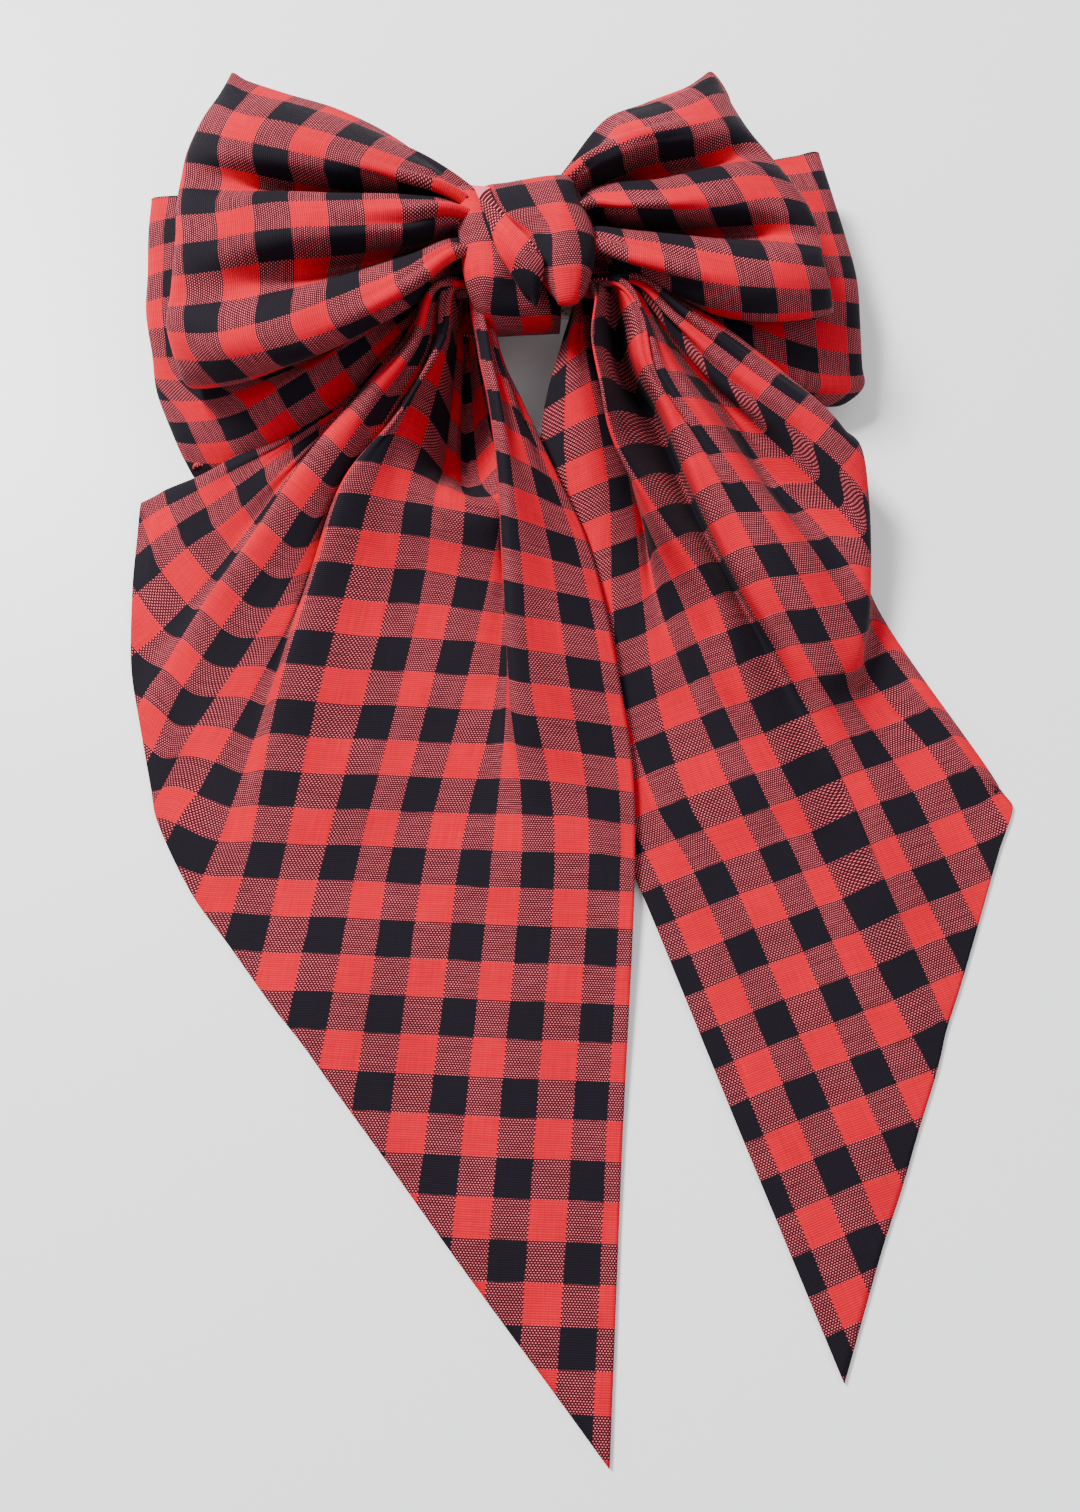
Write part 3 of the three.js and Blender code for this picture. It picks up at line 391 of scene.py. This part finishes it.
def cloth_object(name, grid, weave, thickness=CLOTH, offset=0.0):
    """One piece of cloth from a grid of points in millimetres over the tabletop, with the weave's own
    coordinates, in checks, as its UV map. Solidify gives it the cloth's thickness."""
    rows, cols = grid.shape[:2]
    place = grid.reshape(-1, 3) * MM + np.array([0, 0, TABLE_Z * MM])
    corner = np.arange(rows * cols).reshape(rows, cols)
    quads = np.stack((corner[:-1, :-1], corner[:-1, 1:], corner[1:, 1:], corner[1:, :-1]), axis=2)
    quads = quads.reshape(-1, 4)
    mesh = bpy.data.meshes.new(name)
    mesh.vertices.add(len(place))
    mesh.vertices.foreach_set("co", place.ravel())
    mesh.loops.add(quads.size)
    mesh.loops.foreach_set("vertex_index", quads.ravel())
    mesh.polygons.add(len(quads))
    mesh.polygons.foreach_set("loop_start", np.arange(0, quads.size, 4))
    mesh.update(calc_edges=True)
    mesh.validate()
    mesh.shade_smooth()
    uv = mesh.uv_layers.new(name="Weave")
    uv.data.foreach_set("uv", weave.reshape(-1, 2)[quads.ravel()].ravel())
    piece = bpy.data.objects.new(name, mesh)
    bpy.context.scene.collection.objects.link(piece)
    wall = piece.modifiers.new("Cloth thickness", "SOLIDIFY")
    wall.thickness = thickness * MM
    wall.offset = offset
    return piece


def above_table(grid, least=0.6):
    """No point lower than the tabletop plus half the cloth: low ones ease up to it smoothly."""
    out = grid.copy()
    out[..., 2] = least + np.logaddexp(0, (out[..., 2] - least) * 3) / 3
    return out


# ---------------------------------------------------------------- gingham and the other finishes


def group_tools(group):
    """Short ways to add nodes to a shader group: maths(operation, a, b, c) and mix(factor, a, b)."""
    def feed(socket, value):
        if isinstance(value, bpy.types.NodeSocket):
            group.links.new(value, socket)
        else:
            socket.default_value = value

    def maths(operation, a, b=0.0, c=0.0, clamp=False):
        node = group.nodes.new("ShaderNodeMath")
        node.operation = operation
        node.use_clamp = clamp
        for socket, value in zip(node.inputs, (a, b, c)):
            feed(socket, value)
        return node.outputs[0]

    def mix(factor, a, b):
        node = group.nodes.new("ShaderNodeMix")
        node.data_type = "RGBA"
        feed(node.inputs["Factor"], factor)
        feed(node.inputs["A"], a)
        feed(node.inputs["B"], b)
        return node.outputs["Result"]

    def noise(vector, scale, detail=2.0, rough=0.5):
        node = group.nodes.new("ShaderNodeTexNoise")
        group.links.new(vector, node.inputs["Vector"])
        node.inputs["Scale"].default_value = scale
        node.inputs["Detail"].default_value = detail
        node.inputs["Roughness"].default_value = rough
        return node.outputs["Fac"]

    def stretched(vector, scale):
        node = group.nodes.new("ShaderNodeVectorMath")
        node.operation = "MULTIPLY"
        group.links.new(vector, node.inputs[0])
        node.inputs[1].default_value = scale
        return node.outputs[0]

    return maths, mix, noise, stretched


def gingham_group():
    """Fine ribs run from side to side."""
    group = bpy.data.node_groups.new("Gingham", "ShaderNodeTree")
    face = group.interface
    face.new_socket("Weave", in_out="INPUT", socket_type="NodeSocketVector")
    for name, value in (("Column start", 0.44), ("Row start", 0.2), ("Ribs", 17.0), ("Dots", 12.0)):
        face.new_socket(name, in_out="INPUT", socket_type="NodeSocketFloat").default_value = value
    for name in ("Red", "Black", "Mixed", "Dot"):
        face.new_socket(name, in_out="INPUT", socket_type="NodeSocketColor")
    face.new_socket("Color", in_out="OUTPUT", socket_type="NodeSocketColor")
    face.new_socket("Height", in_out="OUTPUT", socket_type="NodeSocketFloat")
    face.new_socket("Roughness", in_out="OUTPUT", socket_type="NodeSocketFloat")
    enter = group.nodes.new("NodeGroupInput").outputs
    leave = group.nodes.new("NodeGroupOutput").inputs
    maths, mix, noise, stretched = group_tools(group)
    split = group.nodes.new("ShaderNodeSeparateXYZ")
    group.links.new(enter["Weave"], split.inputs[0])
    u, v = split.outputs["X"], split.outputs["Y"]

    # the threads wander a little, and a column's edge is stepped from rib to rib
    wander = maths("SUBTRACT", noise(enter["Weave"], 1.3), 0.5)
    rib_at = maths("MULTIPLY", v, enter["Ribs"])
    rib_saw = maths("PINGPONG", rib_at, 1.0)
    u_edge = maths("MULTIPLY_ADD", rib_saw, 0.045, maths("MULTIPLY_ADD", wander, 0.06, u))
    v_edge = maths("MULTIPLY_ADD", wander, 0.05, v)
    column = maths("FRACT", maths("MULTIPLY", maths("SUBTRACT", u_edge, enter["Column start"]), 0.5))
    row = maths("FRACT", maths("MULTIPLY", maths("SUBTRACT", v_edge, enter["Row start"]), 0.5))
    black_warp = maths("LESS_THAN", column, 0.5)
    black_weft = maths("LESS_THAN", row, 0.5)
    both_black = maths("MULTIPLY", black_warp, black_weft)
    either = maths("MAXIMUM", black_warp, black_weft)

    # one rib is half a wave high; its thread tops are staggered from one rib to the next
    rib = maths("ABSOLUTE", maths("SINE", maths("MULTIPLY", rib_at, math.pi)))
    rib_number = maths("FLOOR", rib_at)
    shift = maths("MULTIPLY", maths("MODULO", rib_number, 2.0), 0.5)
    dot_at = maths("MULTIPLY_ADD", u, enter["Dots"], shift)
    top = maths("ABSOLUTE", maths("SINE", maths("MULTIPLY", dot_at, math.pi)))
    dot = maths("SMOOTH_MIN", maths("MULTIPLY", top, rib), 1.0, 0.1)
    dot = maths("MULTIPLY", maths("SUBTRACT", dot, 0.55), 3.0, clamp=True)

    # slubs: threads of uneven thickness, long across the cloth and one rib high
    slub = noise(stretched(enter["Weave"], (0.9, 17.0, 1.0)), 1.0, 3.0, 0.7)
    warp_slub = noise(stretched(enter["Weave"], (24.0, 0.8, 1.0)), 1.0, 2.0, 0.6)
    cloud = noise(enter["Weave"], 0.35, 3.0, 0.6)
    uneven = maths("ADD", maths("ADD", slub, warp_slub), cloud)
    bright = maths("MULTIPLY_ADD", maths("SUBTRACT", uneven, 1.5), 0.5, 1.0)

    dots_seen = maths("MULTIPLY", dot, maths("MULTIPLY", slub, 2.0), clamp=True)
    mixed = mix(dots_seen, enter["Mixed"], enter["Dot"])
    colour = mix(either, enter["Red"], mixed)
    colour = mix(both_black, colour, enter["Black"])
    # the colour is darkened in the grooves between ribs and lightened on the rib tops, which is painted shade
    # and painted highlight, on top of the slubs' real unevenness
    slubs_and_painted_rib_light = maths("MULTIPLY", bright, maths("MULTIPLY_ADD", rib, 0.34, 0.76))
    tone = group.nodes.new("ShaderNodeMix")
    tone.data_type = "RGBA"
    tone.blend_type = "MULTIPLY"
    tone.inputs["Factor"].default_value = 1.0
    group.links.new(colour, tone.inputs["A"])
    grey = group.nodes.new("ShaderNodeCombineColor")
    for socket in grey.inputs:
        group.links.new(slubs_and_painted_rib_light, socket)
    group.links.new(grey.outputs[0], tone.inputs["B"])

    # pale lint, here and there
    lint = noise(stretched(enter["Weave"], (2.1, 3.4, 1.0)), 7.0, 2.0, 0.6)
    lint = maths("MULTIPLY", maths("SUBTRACT", lint, 0.80), 9.0, clamp=True)
    final = mix(lint, tone.outputs["Result"], (0.55, 0.42, 0.42, 1))
    group.links.new(final, leave["Color"])
    height = maths("MULTIPLY_ADD", top, 0.35, rib)
    group.links.new(maths("MULTIPLY_ADD", slub, 0.5, height), leave["Height"])
    group.links.new(maths("MULTIPLY_ADD", both_black, -0.06, 0.86), leave["Roughness"])
    return group


GINGHAM = gingham_group()


def gingham(name, column_start, row_start):
    """Cotton gingham whose black columns and rows start at the checks given."""
    material = bpy.data.materials.new(name)
    material.use_nodes = True
    tree = material.node_tree
    shader = tree.nodes["Principled BSDF"]
    uv = tree.nodes.new("ShaderNodeUVMap")
    uv.uv_map = "Weave"
    group = tree.nodes.new("ShaderNodeGroup")
    group.node_tree = GINGHAM
    tree.links.new(uv.outputs["UV"], group.inputs["Weave"])
    group.inputs["Column start"].default_value = column_start
    group.inputs["Row start"].default_value = row_start
    group.inputs["Red"].default_value = RED
    group.inputs["Black"].default_value = BLACK
    group.inputs["Mixed"].default_value = MIXED
    group.inputs["Dot"].default_value = DOT
    bump = tree.nodes.new("ShaderNodeBump")
    bump.inputs["Strength"].default_value = 0.5
    bump.inputs["Distance"].default_value = 0.00012
    tree.links.new(group.outputs["Height"], bump.inputs["Height"])
    tree.links.new(group.outputs["Color"], shader.inputs["Base Color"])
    tree.links.new(group.outputs["Roughness"], shader.inputs["Roughness"])
    tree.links.new(bump.outputs["Normal"], shader.inputs["Normal"])
    shader.inputs["Specular IOR Level"].default_value = 0.12
    shader.inputs["Sheen Weight"].default_value = 0.03
    shader.inputs["Sheen Roughness"].default_value = 0.4
    shader.inputs["Sheen Tint"].default_value = (1.0, 0.75, 0.75, 1)
    return material


RED = (0.53, 0.0003, 0.015, 1)
BLACK = (0.006, 0.004, 0.008, 1)
MIXED = (0.040, 0.002, 0.005, 1)
DOT = (0.72, 0.12, 0.15, 1)


def plain_material(name, base, roughness, metallic=0.0, scale=900.0, depth=0.00002, spread=0.25):
    """A finish for the small hard parts: the base colour a little uneven, with a fine grain."""
    material = bpy.data.materials.new(name)
    material.use_nodes = True
    tree = material.node_tree
    shader = tree.nodes["Principled BSDF"]
    place = tree.nodes.new("ShaderNodeTexCoord")
    grain = tree.nodes.new("ShaderNodeTexNoise")
    grain.inputs["Scale"].default_value = scale
    grain.inputs["Detail"].default_value = 4.0
    tree.links.new(place.outputs["Object"], grain.inputs["Vector"])
    ramp = tree.nodes.new("ShaderNodeValToRGB")
    ramp.color_ramp.elements[0].position = 0.3
    ramp.color_ramp.elements[0].color = tuple(c * (1 - spread) for c in base) + (1,)
    ramp.color_ramp.elements[1].position = 0.7
    ramp.color_ramp.elements[1].color = tuple(min(1, c * (1 + spread)) for c in base) + (1,)
    tree.links.new(grain.outputs["Fac"], ramp.inputs["Fac"])
    tree.links.new(ramp.outputs["Color"], shader.inputs["Base Color"])
    rough = tree.nodes.new("ShaderNodeMapRange")
    rough.inputs["To Min"].default_value = roughness * 0.8
    rough.inputs["To Max"].default_value = min(1.0, roughness * 1.25)
    tree.links.new(grain.outputs["Fac"], rough.inputs["Value"])
    tree.links.new(rough.outputs["Result"], shader.inputs["Roughness"])
    bump = tree.nodes.new("ShaderNodeBump")
    bump.inputs["Strength"].default_value = 0.4
    bump.inputs["Distance"].default_value = depth
    tree.links.new(grain.outputs["Fac"], bump.inputs["Height"])
    tree.links.new(bump.outputs["Normal"], shader.inputs["Normal"])
    shader.inputs["Metallic"].default_value = metallic
    return material


def dress(piece, material):
    """The piece gets the material."""
    piece.data.materials.clear()
    piece.data.materials.append(material)
    return piece


# ---------------------------------------------------------------- the two tails


def under_knot(ribs, middle, floor):
    """The ribs with one more point before the first: the cloth goes on under the knot, drawn together
    towards its middle and pressed down to near the floor height given."""
    out = []
    for checks, line in ribs:
        x, y, height = line[0]
        start = (x * 0.35, middle + (y - middle) * 0.5, floor + (height - floor) * 0.4)
        out.append((checks, [start] + list(line)))
    return out


def tail_surface(ribs, cut_slope, free_side, crimp):
    """A tail from its ribs, with its weave's coordinates. The strip is cut at a slant of cut_slope
    checks along for each check across, so a point's row is the cut's row plus its own distance up the
    thread line; on the side past free_side, which is folded, the row is counted down from the gather.
    crimp is the share of its length that the cloth near the gather loses to fine puckers."""
    across, grid = rib_surface(under_knot(ribs, -4, 20), 9, 1.25)
    grid = softened(grid, 2)
    from_cut = travelled(grid, True)
    from_cut = from_cut + crimp * np.maximum(from_cut - 14, 0) + cut_slope * across[:, None]
    gather_row = from_cut[across < free_side, 0].mean()
    from_gather = gather_row - travelled(grid, False)
    folded = eased(across, free_side, free_side + 1.5)[:, None]
    rows = from_cut * (1 - folded) + from_gather * folded
    near = eased(np.arange(grid.shape[1])[None, :] * 1.25, 95, 30)
    grid = gathered(grid, across, 1.1, 0.5 * near)
    weave = np.stack((np.broadcast_to(across[:, None], rows.shape), rows), 2)
    return above_table(grid), weave


def flipped(grid, weave, direction=(0, 0, 1)):
    """The pair turned so that the cloth's face is on the side that direction points to."""
    if (normals_of(grid) @ np.array(direction, float)).mean() < 0:
        return grid[::-1], weave[::-1]
    return grid, weave


LEFT_CUT_SLOPE = 1.085
RIGHT_CUT_SLOPE = 1.07
left_weave = gingham("Gingham, left tail", 0.5, 0.2)
right_weave = gingham("Gingham, right tail", 1.55, 0.15)

left_grid, left_uv = tail_surface(LEFT_TAIL, LEFT_CUT_SLOPE, 18.0, 0.1)
right_grid, right_uv = tail_surface(RIGHT_TAIL, RIGHT_CUT_SLOPE, 11.0, 0.05)
left_tail = cloth_object("left_tail_cloth", *flipped(left_grid, left_uv))
right_tail = cloth_object("right_tail_cloth", *flipped(right_grid, right_uv))
dress(left_tail, left_weave)
dress(right_tail, right_weave)

# ---------------------------------------------------------------- the loops


def loop_stations(ribs, across, rear):
    """One loop's lines from the knot to its outer fold and back along the rear wall, read at the same
    shares of the strip's width for every loop. rear lists, for each step back, the share of the way
    out, the height over the table and how much of the spread stays."""
    checks = np.array([rib[0] for rib in ribs], float)
    shares = (checks - checks[0]) / (checks[-1] - checks[0])
    front = smooth_through(shares, np.array([rib[1] for rib in ribs], float), across)
    back = []
    for share, height, spread in rear:
        at = share * (front.shape[1] - 1)
        i = min(int(at), front.shape[1] - 2)
        line = front[:, i] * (1 - at + i) + front[:, i + 1] * (at - i)
        middle = line[:, 1].mean()
        y = middle + (line[:, 1] - middle) * spread
        even = np.linspace(y[0], y[-1], len(y))
        x = (line[:, 0] + line[:, 0].mean()) / 2
        back.append(np.stack((x, even * 0.6 + y * 0.4, np.full(len(y), height)), 1))
    return front, np.stack(back, 1)


def rows_from_folds(grid, folds, left_row, right_row):
    """The row at each point of a band, with row 0 as the middle of a black row. It is counted from the
    two outer folds, where left_row and right_row say how far in from the fold the first black row
    lies on each thread line; the two counts meet half way round the back."""
    walked = travelled(grid, False)
    left, right = (walked[:, fold][:, None] for fold in folds)
    between = round(float((right - left).mean()) / 2) * 2
    share = np.clip((walked - left) / (right - left), 0, 1)
    return (walked - left + left_row) * (1 - share) + (walked - right - right_row + between) * share


def band_object(name, left, right, rear, tuck, checks, shift_left, shift_right):
    """A band is one strip closed into a ring: out along the left loop's front, round its fold, back
    along the rear to the right loop's fold, and home along the right loop's front. It is gathered
    tightly near the knot, and all along its back, and hardly at all at the folds."""
    across = np.linspace(0, 1, 120)
    front_l, back_l = loop_stations(under_knot(left, 5, tuck), across, rear)
    front_r, back_r = loop_stations(under_knot(right, 5, tuck), across, rear)
    ring = np.concatenate((front_l, back_l, back_r[:, ::-1], front_r[:, ::-1]), axis=1)
    lengths = station_lengths(ring)
    along = np.linspace(0, lengths[-1], int(lengths[-1] / 1.3) + 1)
    grid = softened(smooth_through(lengths, ring.transpose(1, 0, 2), along).transpose(1, 0, 2), 3)
    fold_lengths = (lengths[front_l.shape[1] - 1], lengths[-front_r.shape[1]])
    folds = [int(np.abs(along - at).argmin()) for at in fold_lengths]
    column = across * checks
    rows = rows_from_folds(grid, folds, shift_left(column)[:, None], shift_right(column)[:, None])
    behind = eased(along, fold_lengths[0] + 8, fold_lengths[0] + 40)
    behind = behind * eased(along, fold_lengths[1] - 8, fold_lengths[1] - 40)
    near_knot = eased(np.abs(grid[:, :, 0]), 62, 24)
    grid = gathered(grid, column, 1.3, np.maximum(near_knot, behind[None, :]))
    weave = np.stack((np.broadcast_to(column[:, None], rows.shape), rows), 2)
    return cloth_object(name, *flipped(above_table(grid), weave))


FRONT_BACK_WALL = [(0.93, 24.5, 1.0), (0.65, 22.5, 0.95), (0.35, 22, 0.8), (0.12, 22, 0.9)]
REAR_BACK_WALL = [(0.93, 7.5, 1.0), (0.74, 7.0, 0.95), (0.5, 14.5, 0.8), (0.24, 15.6, 0.8), (0.1, 15.8, 0.9)]

front_weave = gingham("Gingham, front band", 0.6, 1.5)
rear_weave = gingham("Gingham, rear band", 1.1, 1.5)
front_band = band_object(
    "front_band_cloth", FRONT_LEFT, FRONT_RIGHT, FRONT_BACK_WALL, 23, 13.3,
    lambda c: 0.45 + 0.0075 * c * c, lambda c: 0.5 - 0.035 * c,
)
rear_band = band_object(
    "rear_band_cloth", REAR_LEFT, REAR_RIGHT, REAR_BACK_WALL, 18, 13.3,
    lambda c: 1.15 + 1.15 * eased(c, 6.0, 9.0), lambda c: 0.1 + 0.0 * c,
)
dress(front_band, front_weave)
dress(rear_band, rear_weave)

# ---------------------------------------------------------------- the knot


def knot_piece(name, ribs, weave, lay=None):
    """A piece of the knot from its ribs, with rows counted from its first points, or with its weave's
    coordinates laid by a formula in the place across and along."""
    across, grid = rib_surface(ribs, 14, 0.7)
    grid = softened(grid, 3)
    rows = travelled(grid, False)
    uv = np.stack((np.broadcast_to(across[:, None], rows.shape), rows), 2)
    if lay:
        uv = np.stack(lay(grid[:, :, 0], grid[:, :, 1]), 2)
    return dress(cloth_object(name, *flipped(grid, uv)), weave)


def flap_weave_at(x, y):
    """The flap lies across the knot at a slant: one check down the column is (6.9, -8.8) mm in plan and
    one check across is (-6.5, -9.3) mm, counted from the corner at (1.3, -6.6) mm. Past y = -10.5 mm the
    tip turns under, which runs the pattern on faster; the counts stop just short of the next check."""
    dx, dy = x - 1.3, y + 6.6
    across = (-8.8 * dx - 6.9 * dy) / 121.4 + 0.11 * np.maximum(0, -y - 10.5)
    down = (9.3 * dx - 6.5 * dy) / 121.4
    return np.maximum(across, 0.03), np.maximum(down, -1.97)


def knot_core_ribs():
    """The knot's first turn: its front lines, carried on round the back of the bow and home again."""
    out = []
    for checks, line in KNOT_CORE_FRONT:
        x = line[0][0]
        under = [(x * 0.98, -14.5, 15.5), (x * 0.95, -8, 13.6), (x * 0.95, 4, 13.4)]
        home = [(x * 0.97, 16, 15), (x, 21, 22), line[0]]
        out.append((checks, line + under + home))
    return out


knot_weave = gingham("Gingham, knot", 1.0, 1.2)
wrap_weave = gingham("Gingham, knot wrap", 1.0, 1.15)
flap_weave = gingham("Gingham, knot flap", 1.0, 0.0)
knot_core = knot_piece("knot_band_cloth", knot_core_ribs(), knot_weave)
knot_wrap = knot_piece("knot_wrap_cloth", KNOT_WRAP, wrap_weave)
knot_flap = knot_piece("knot_flap_cloth", KNOT_FLAP, flap_weave, flap_weave_at)


def gather_ribs():
    """The tails' shared waist behind the knot: a pleated strip from one tail's gather to the other's,
    its pleats standing out in front and behind as a wave across it."""
    out = []
    for i in range(25):
        share = i / 24
        wave = 2.0 * math.sin(share * math.pi * 9)
        y = 12.0 - 24.0 * share
        edge = (4 - 14 * share, 24 + wave * 1.6)
        inner = [(x, y * 0.8, 26.5 + wave) for x in (-12, 12)]
        line = [(-24, *edge), inner[0], (0, y * 0.75 + 1, 26.5 + wave), inner[1], (24, *edge)]
        out.append((share * 12, line))
    return out


waist = knot_piece("tail_gathers_cloth", gather_ribs(), left_weave)

# ---------------------------------------------------------------- what replaces what, and what moves

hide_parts("front_band")
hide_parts("rear_band")
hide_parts("knot_band")
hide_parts("knot_overlap")
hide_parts("tail_left")
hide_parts("tail_right")
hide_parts("tail_waist")
for piece in (front_band, rear_band, knot_core, knot_wrap, knot_flap, waist):
    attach(piece, "root")
for piece in (left_tail, right_tail):
    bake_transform(piece)


# ---------------------------------------------------------------- barrette, glue and thread

STEEL = plain_material("Nickel-plated steel", (0.62, 0.61, 0.58), 0.28, 1.0, 420.0, 0.00001, 0.08)
GLUE = plain_material("Set hot glue", (0.72, 0.66, 0.52), 0.35, 0.0, 260.0, 0.00008, 0.1)
THREAD = plain_material("Black sewing thread", (0.012, 0.010, 0.012), 0.8, 0.0, 2600.0, 0.00006, 0.5)
FINISHES = {"steel": STEEL, "glue": GLUE, "thread": THREAD}
NODE_FINISH = {
    "base_bar": "steel", "hinge_pin": "steel", "clasp_arm": "steel", "catch_plate": "steel",
    "catch_rivet": "steel", "catch_prong_upper": "steel", "catch_prong_lower": "steel",
    "tension_bar": "steel", "glue_pad": "glue", "front_thread": "thread", "rear_thread": "thread",
    "tail_thread": "thread",
}
for node, finish in NODE_FINISH.items():
    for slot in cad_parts[node].material_slots:
        slot.material = FINISHES[finish]

# ---------------------------------------------------------------- table, lights and camera

TABLE_LEVEL = CAD_LOW[2]
floor_mesh = bpy.data.meshes.new("tabletop")
FLOOR_HALF = 1.6
floor_mesh.from_pydata(
    [(-FLOOR_HALF, -FLOOR_HALF, TABLE_LEVEL), (FLOOR_HALF, -FLOOR_HALF, TABLE_LEVEL),
     (FLOOR_HALF, FLOOR_HALF, TABLE_LEVEL), (-FLOOR_HALF, FLOOR_HALF, TABLE_LEVEL)],
    [], [(0, 1, 2, 3)],
)
tabletop = bpy.data.objects.new("tabletop", floor_mesh)
bpy.context.scene.collection.objects.link(tabletop)
floor_look = bpy.data.materials.new("Pale tabletop")
floor_look.use_nodes = True
floor_shader = floor_look.node_tree.nodes["Principled BSDF"]
floor_shader.inputs["Base Color"].default_value = (0.93, 0.935, 0.93, 1)
floor_shader.inputs["Roughness"].default_value = 0.45
tabletop.data.materials.append(floor_look)

AIM = Vector((0.0042, -0.1398, -0.004))


def area_light(name, place, size, power, colour=(1, 1, 1)):
    """A soft square light that looks at the middle of the bow."""
    data = bpy.data.lights.new(name, "AREA")
    data.size = size
    data.energy = power
    data.color = colour
    lamp = bpy.data.objects.new(name, data)
    lamp.location = Vector(place)
    lamp.rotation_mode = "QUATERNION"
    lamp.rotation_quaternion = (AIM - Vector(place)).to_track_quat("-Z", "Y")
    bpy.context.scene.collection.objects.link(lamp)
    return lamp


area_light("Window light", (-0.75, 0.55, 1.05), 0.40, 48.0, (1.0, 0.99, 0.98))
area_light("Fill light", (0.9, -0.5, 1.1), 1.0, 5.0, (0.97, 0.98, 1.0))
world = bpy.data.worlds.new("Studio")
world.use_nodes = True
world.node_tree.nodes["Background"].inputs["Color"].default_value = (0.93, 0.96, 1.0, 1)
world.node_tree.nodes["Background"].inputs["Strength"].default_value = 0.74
bpy.context.scene.world = world

camera_data = bpy.data.cameras.new("Camera")
camera_data.sensor_width = 36.0
camera_data.lens = 27.05
camera_data.clip_start = 0.01
camera_data.clip_end = 20.0
camera = bpy.data.objects.new("Camera", camera_data)
camera.location = Vector((0.0042, -0.2114, 0.3119))
camera.rotation_mode = "QUATERNION"
camera.rotation_quaternion = (AIM - camera.location).to_track_quat("-Z", "Y")
bpy.context.scene.collection.objects.link(camera)
bpy.context.scene.camera = camera
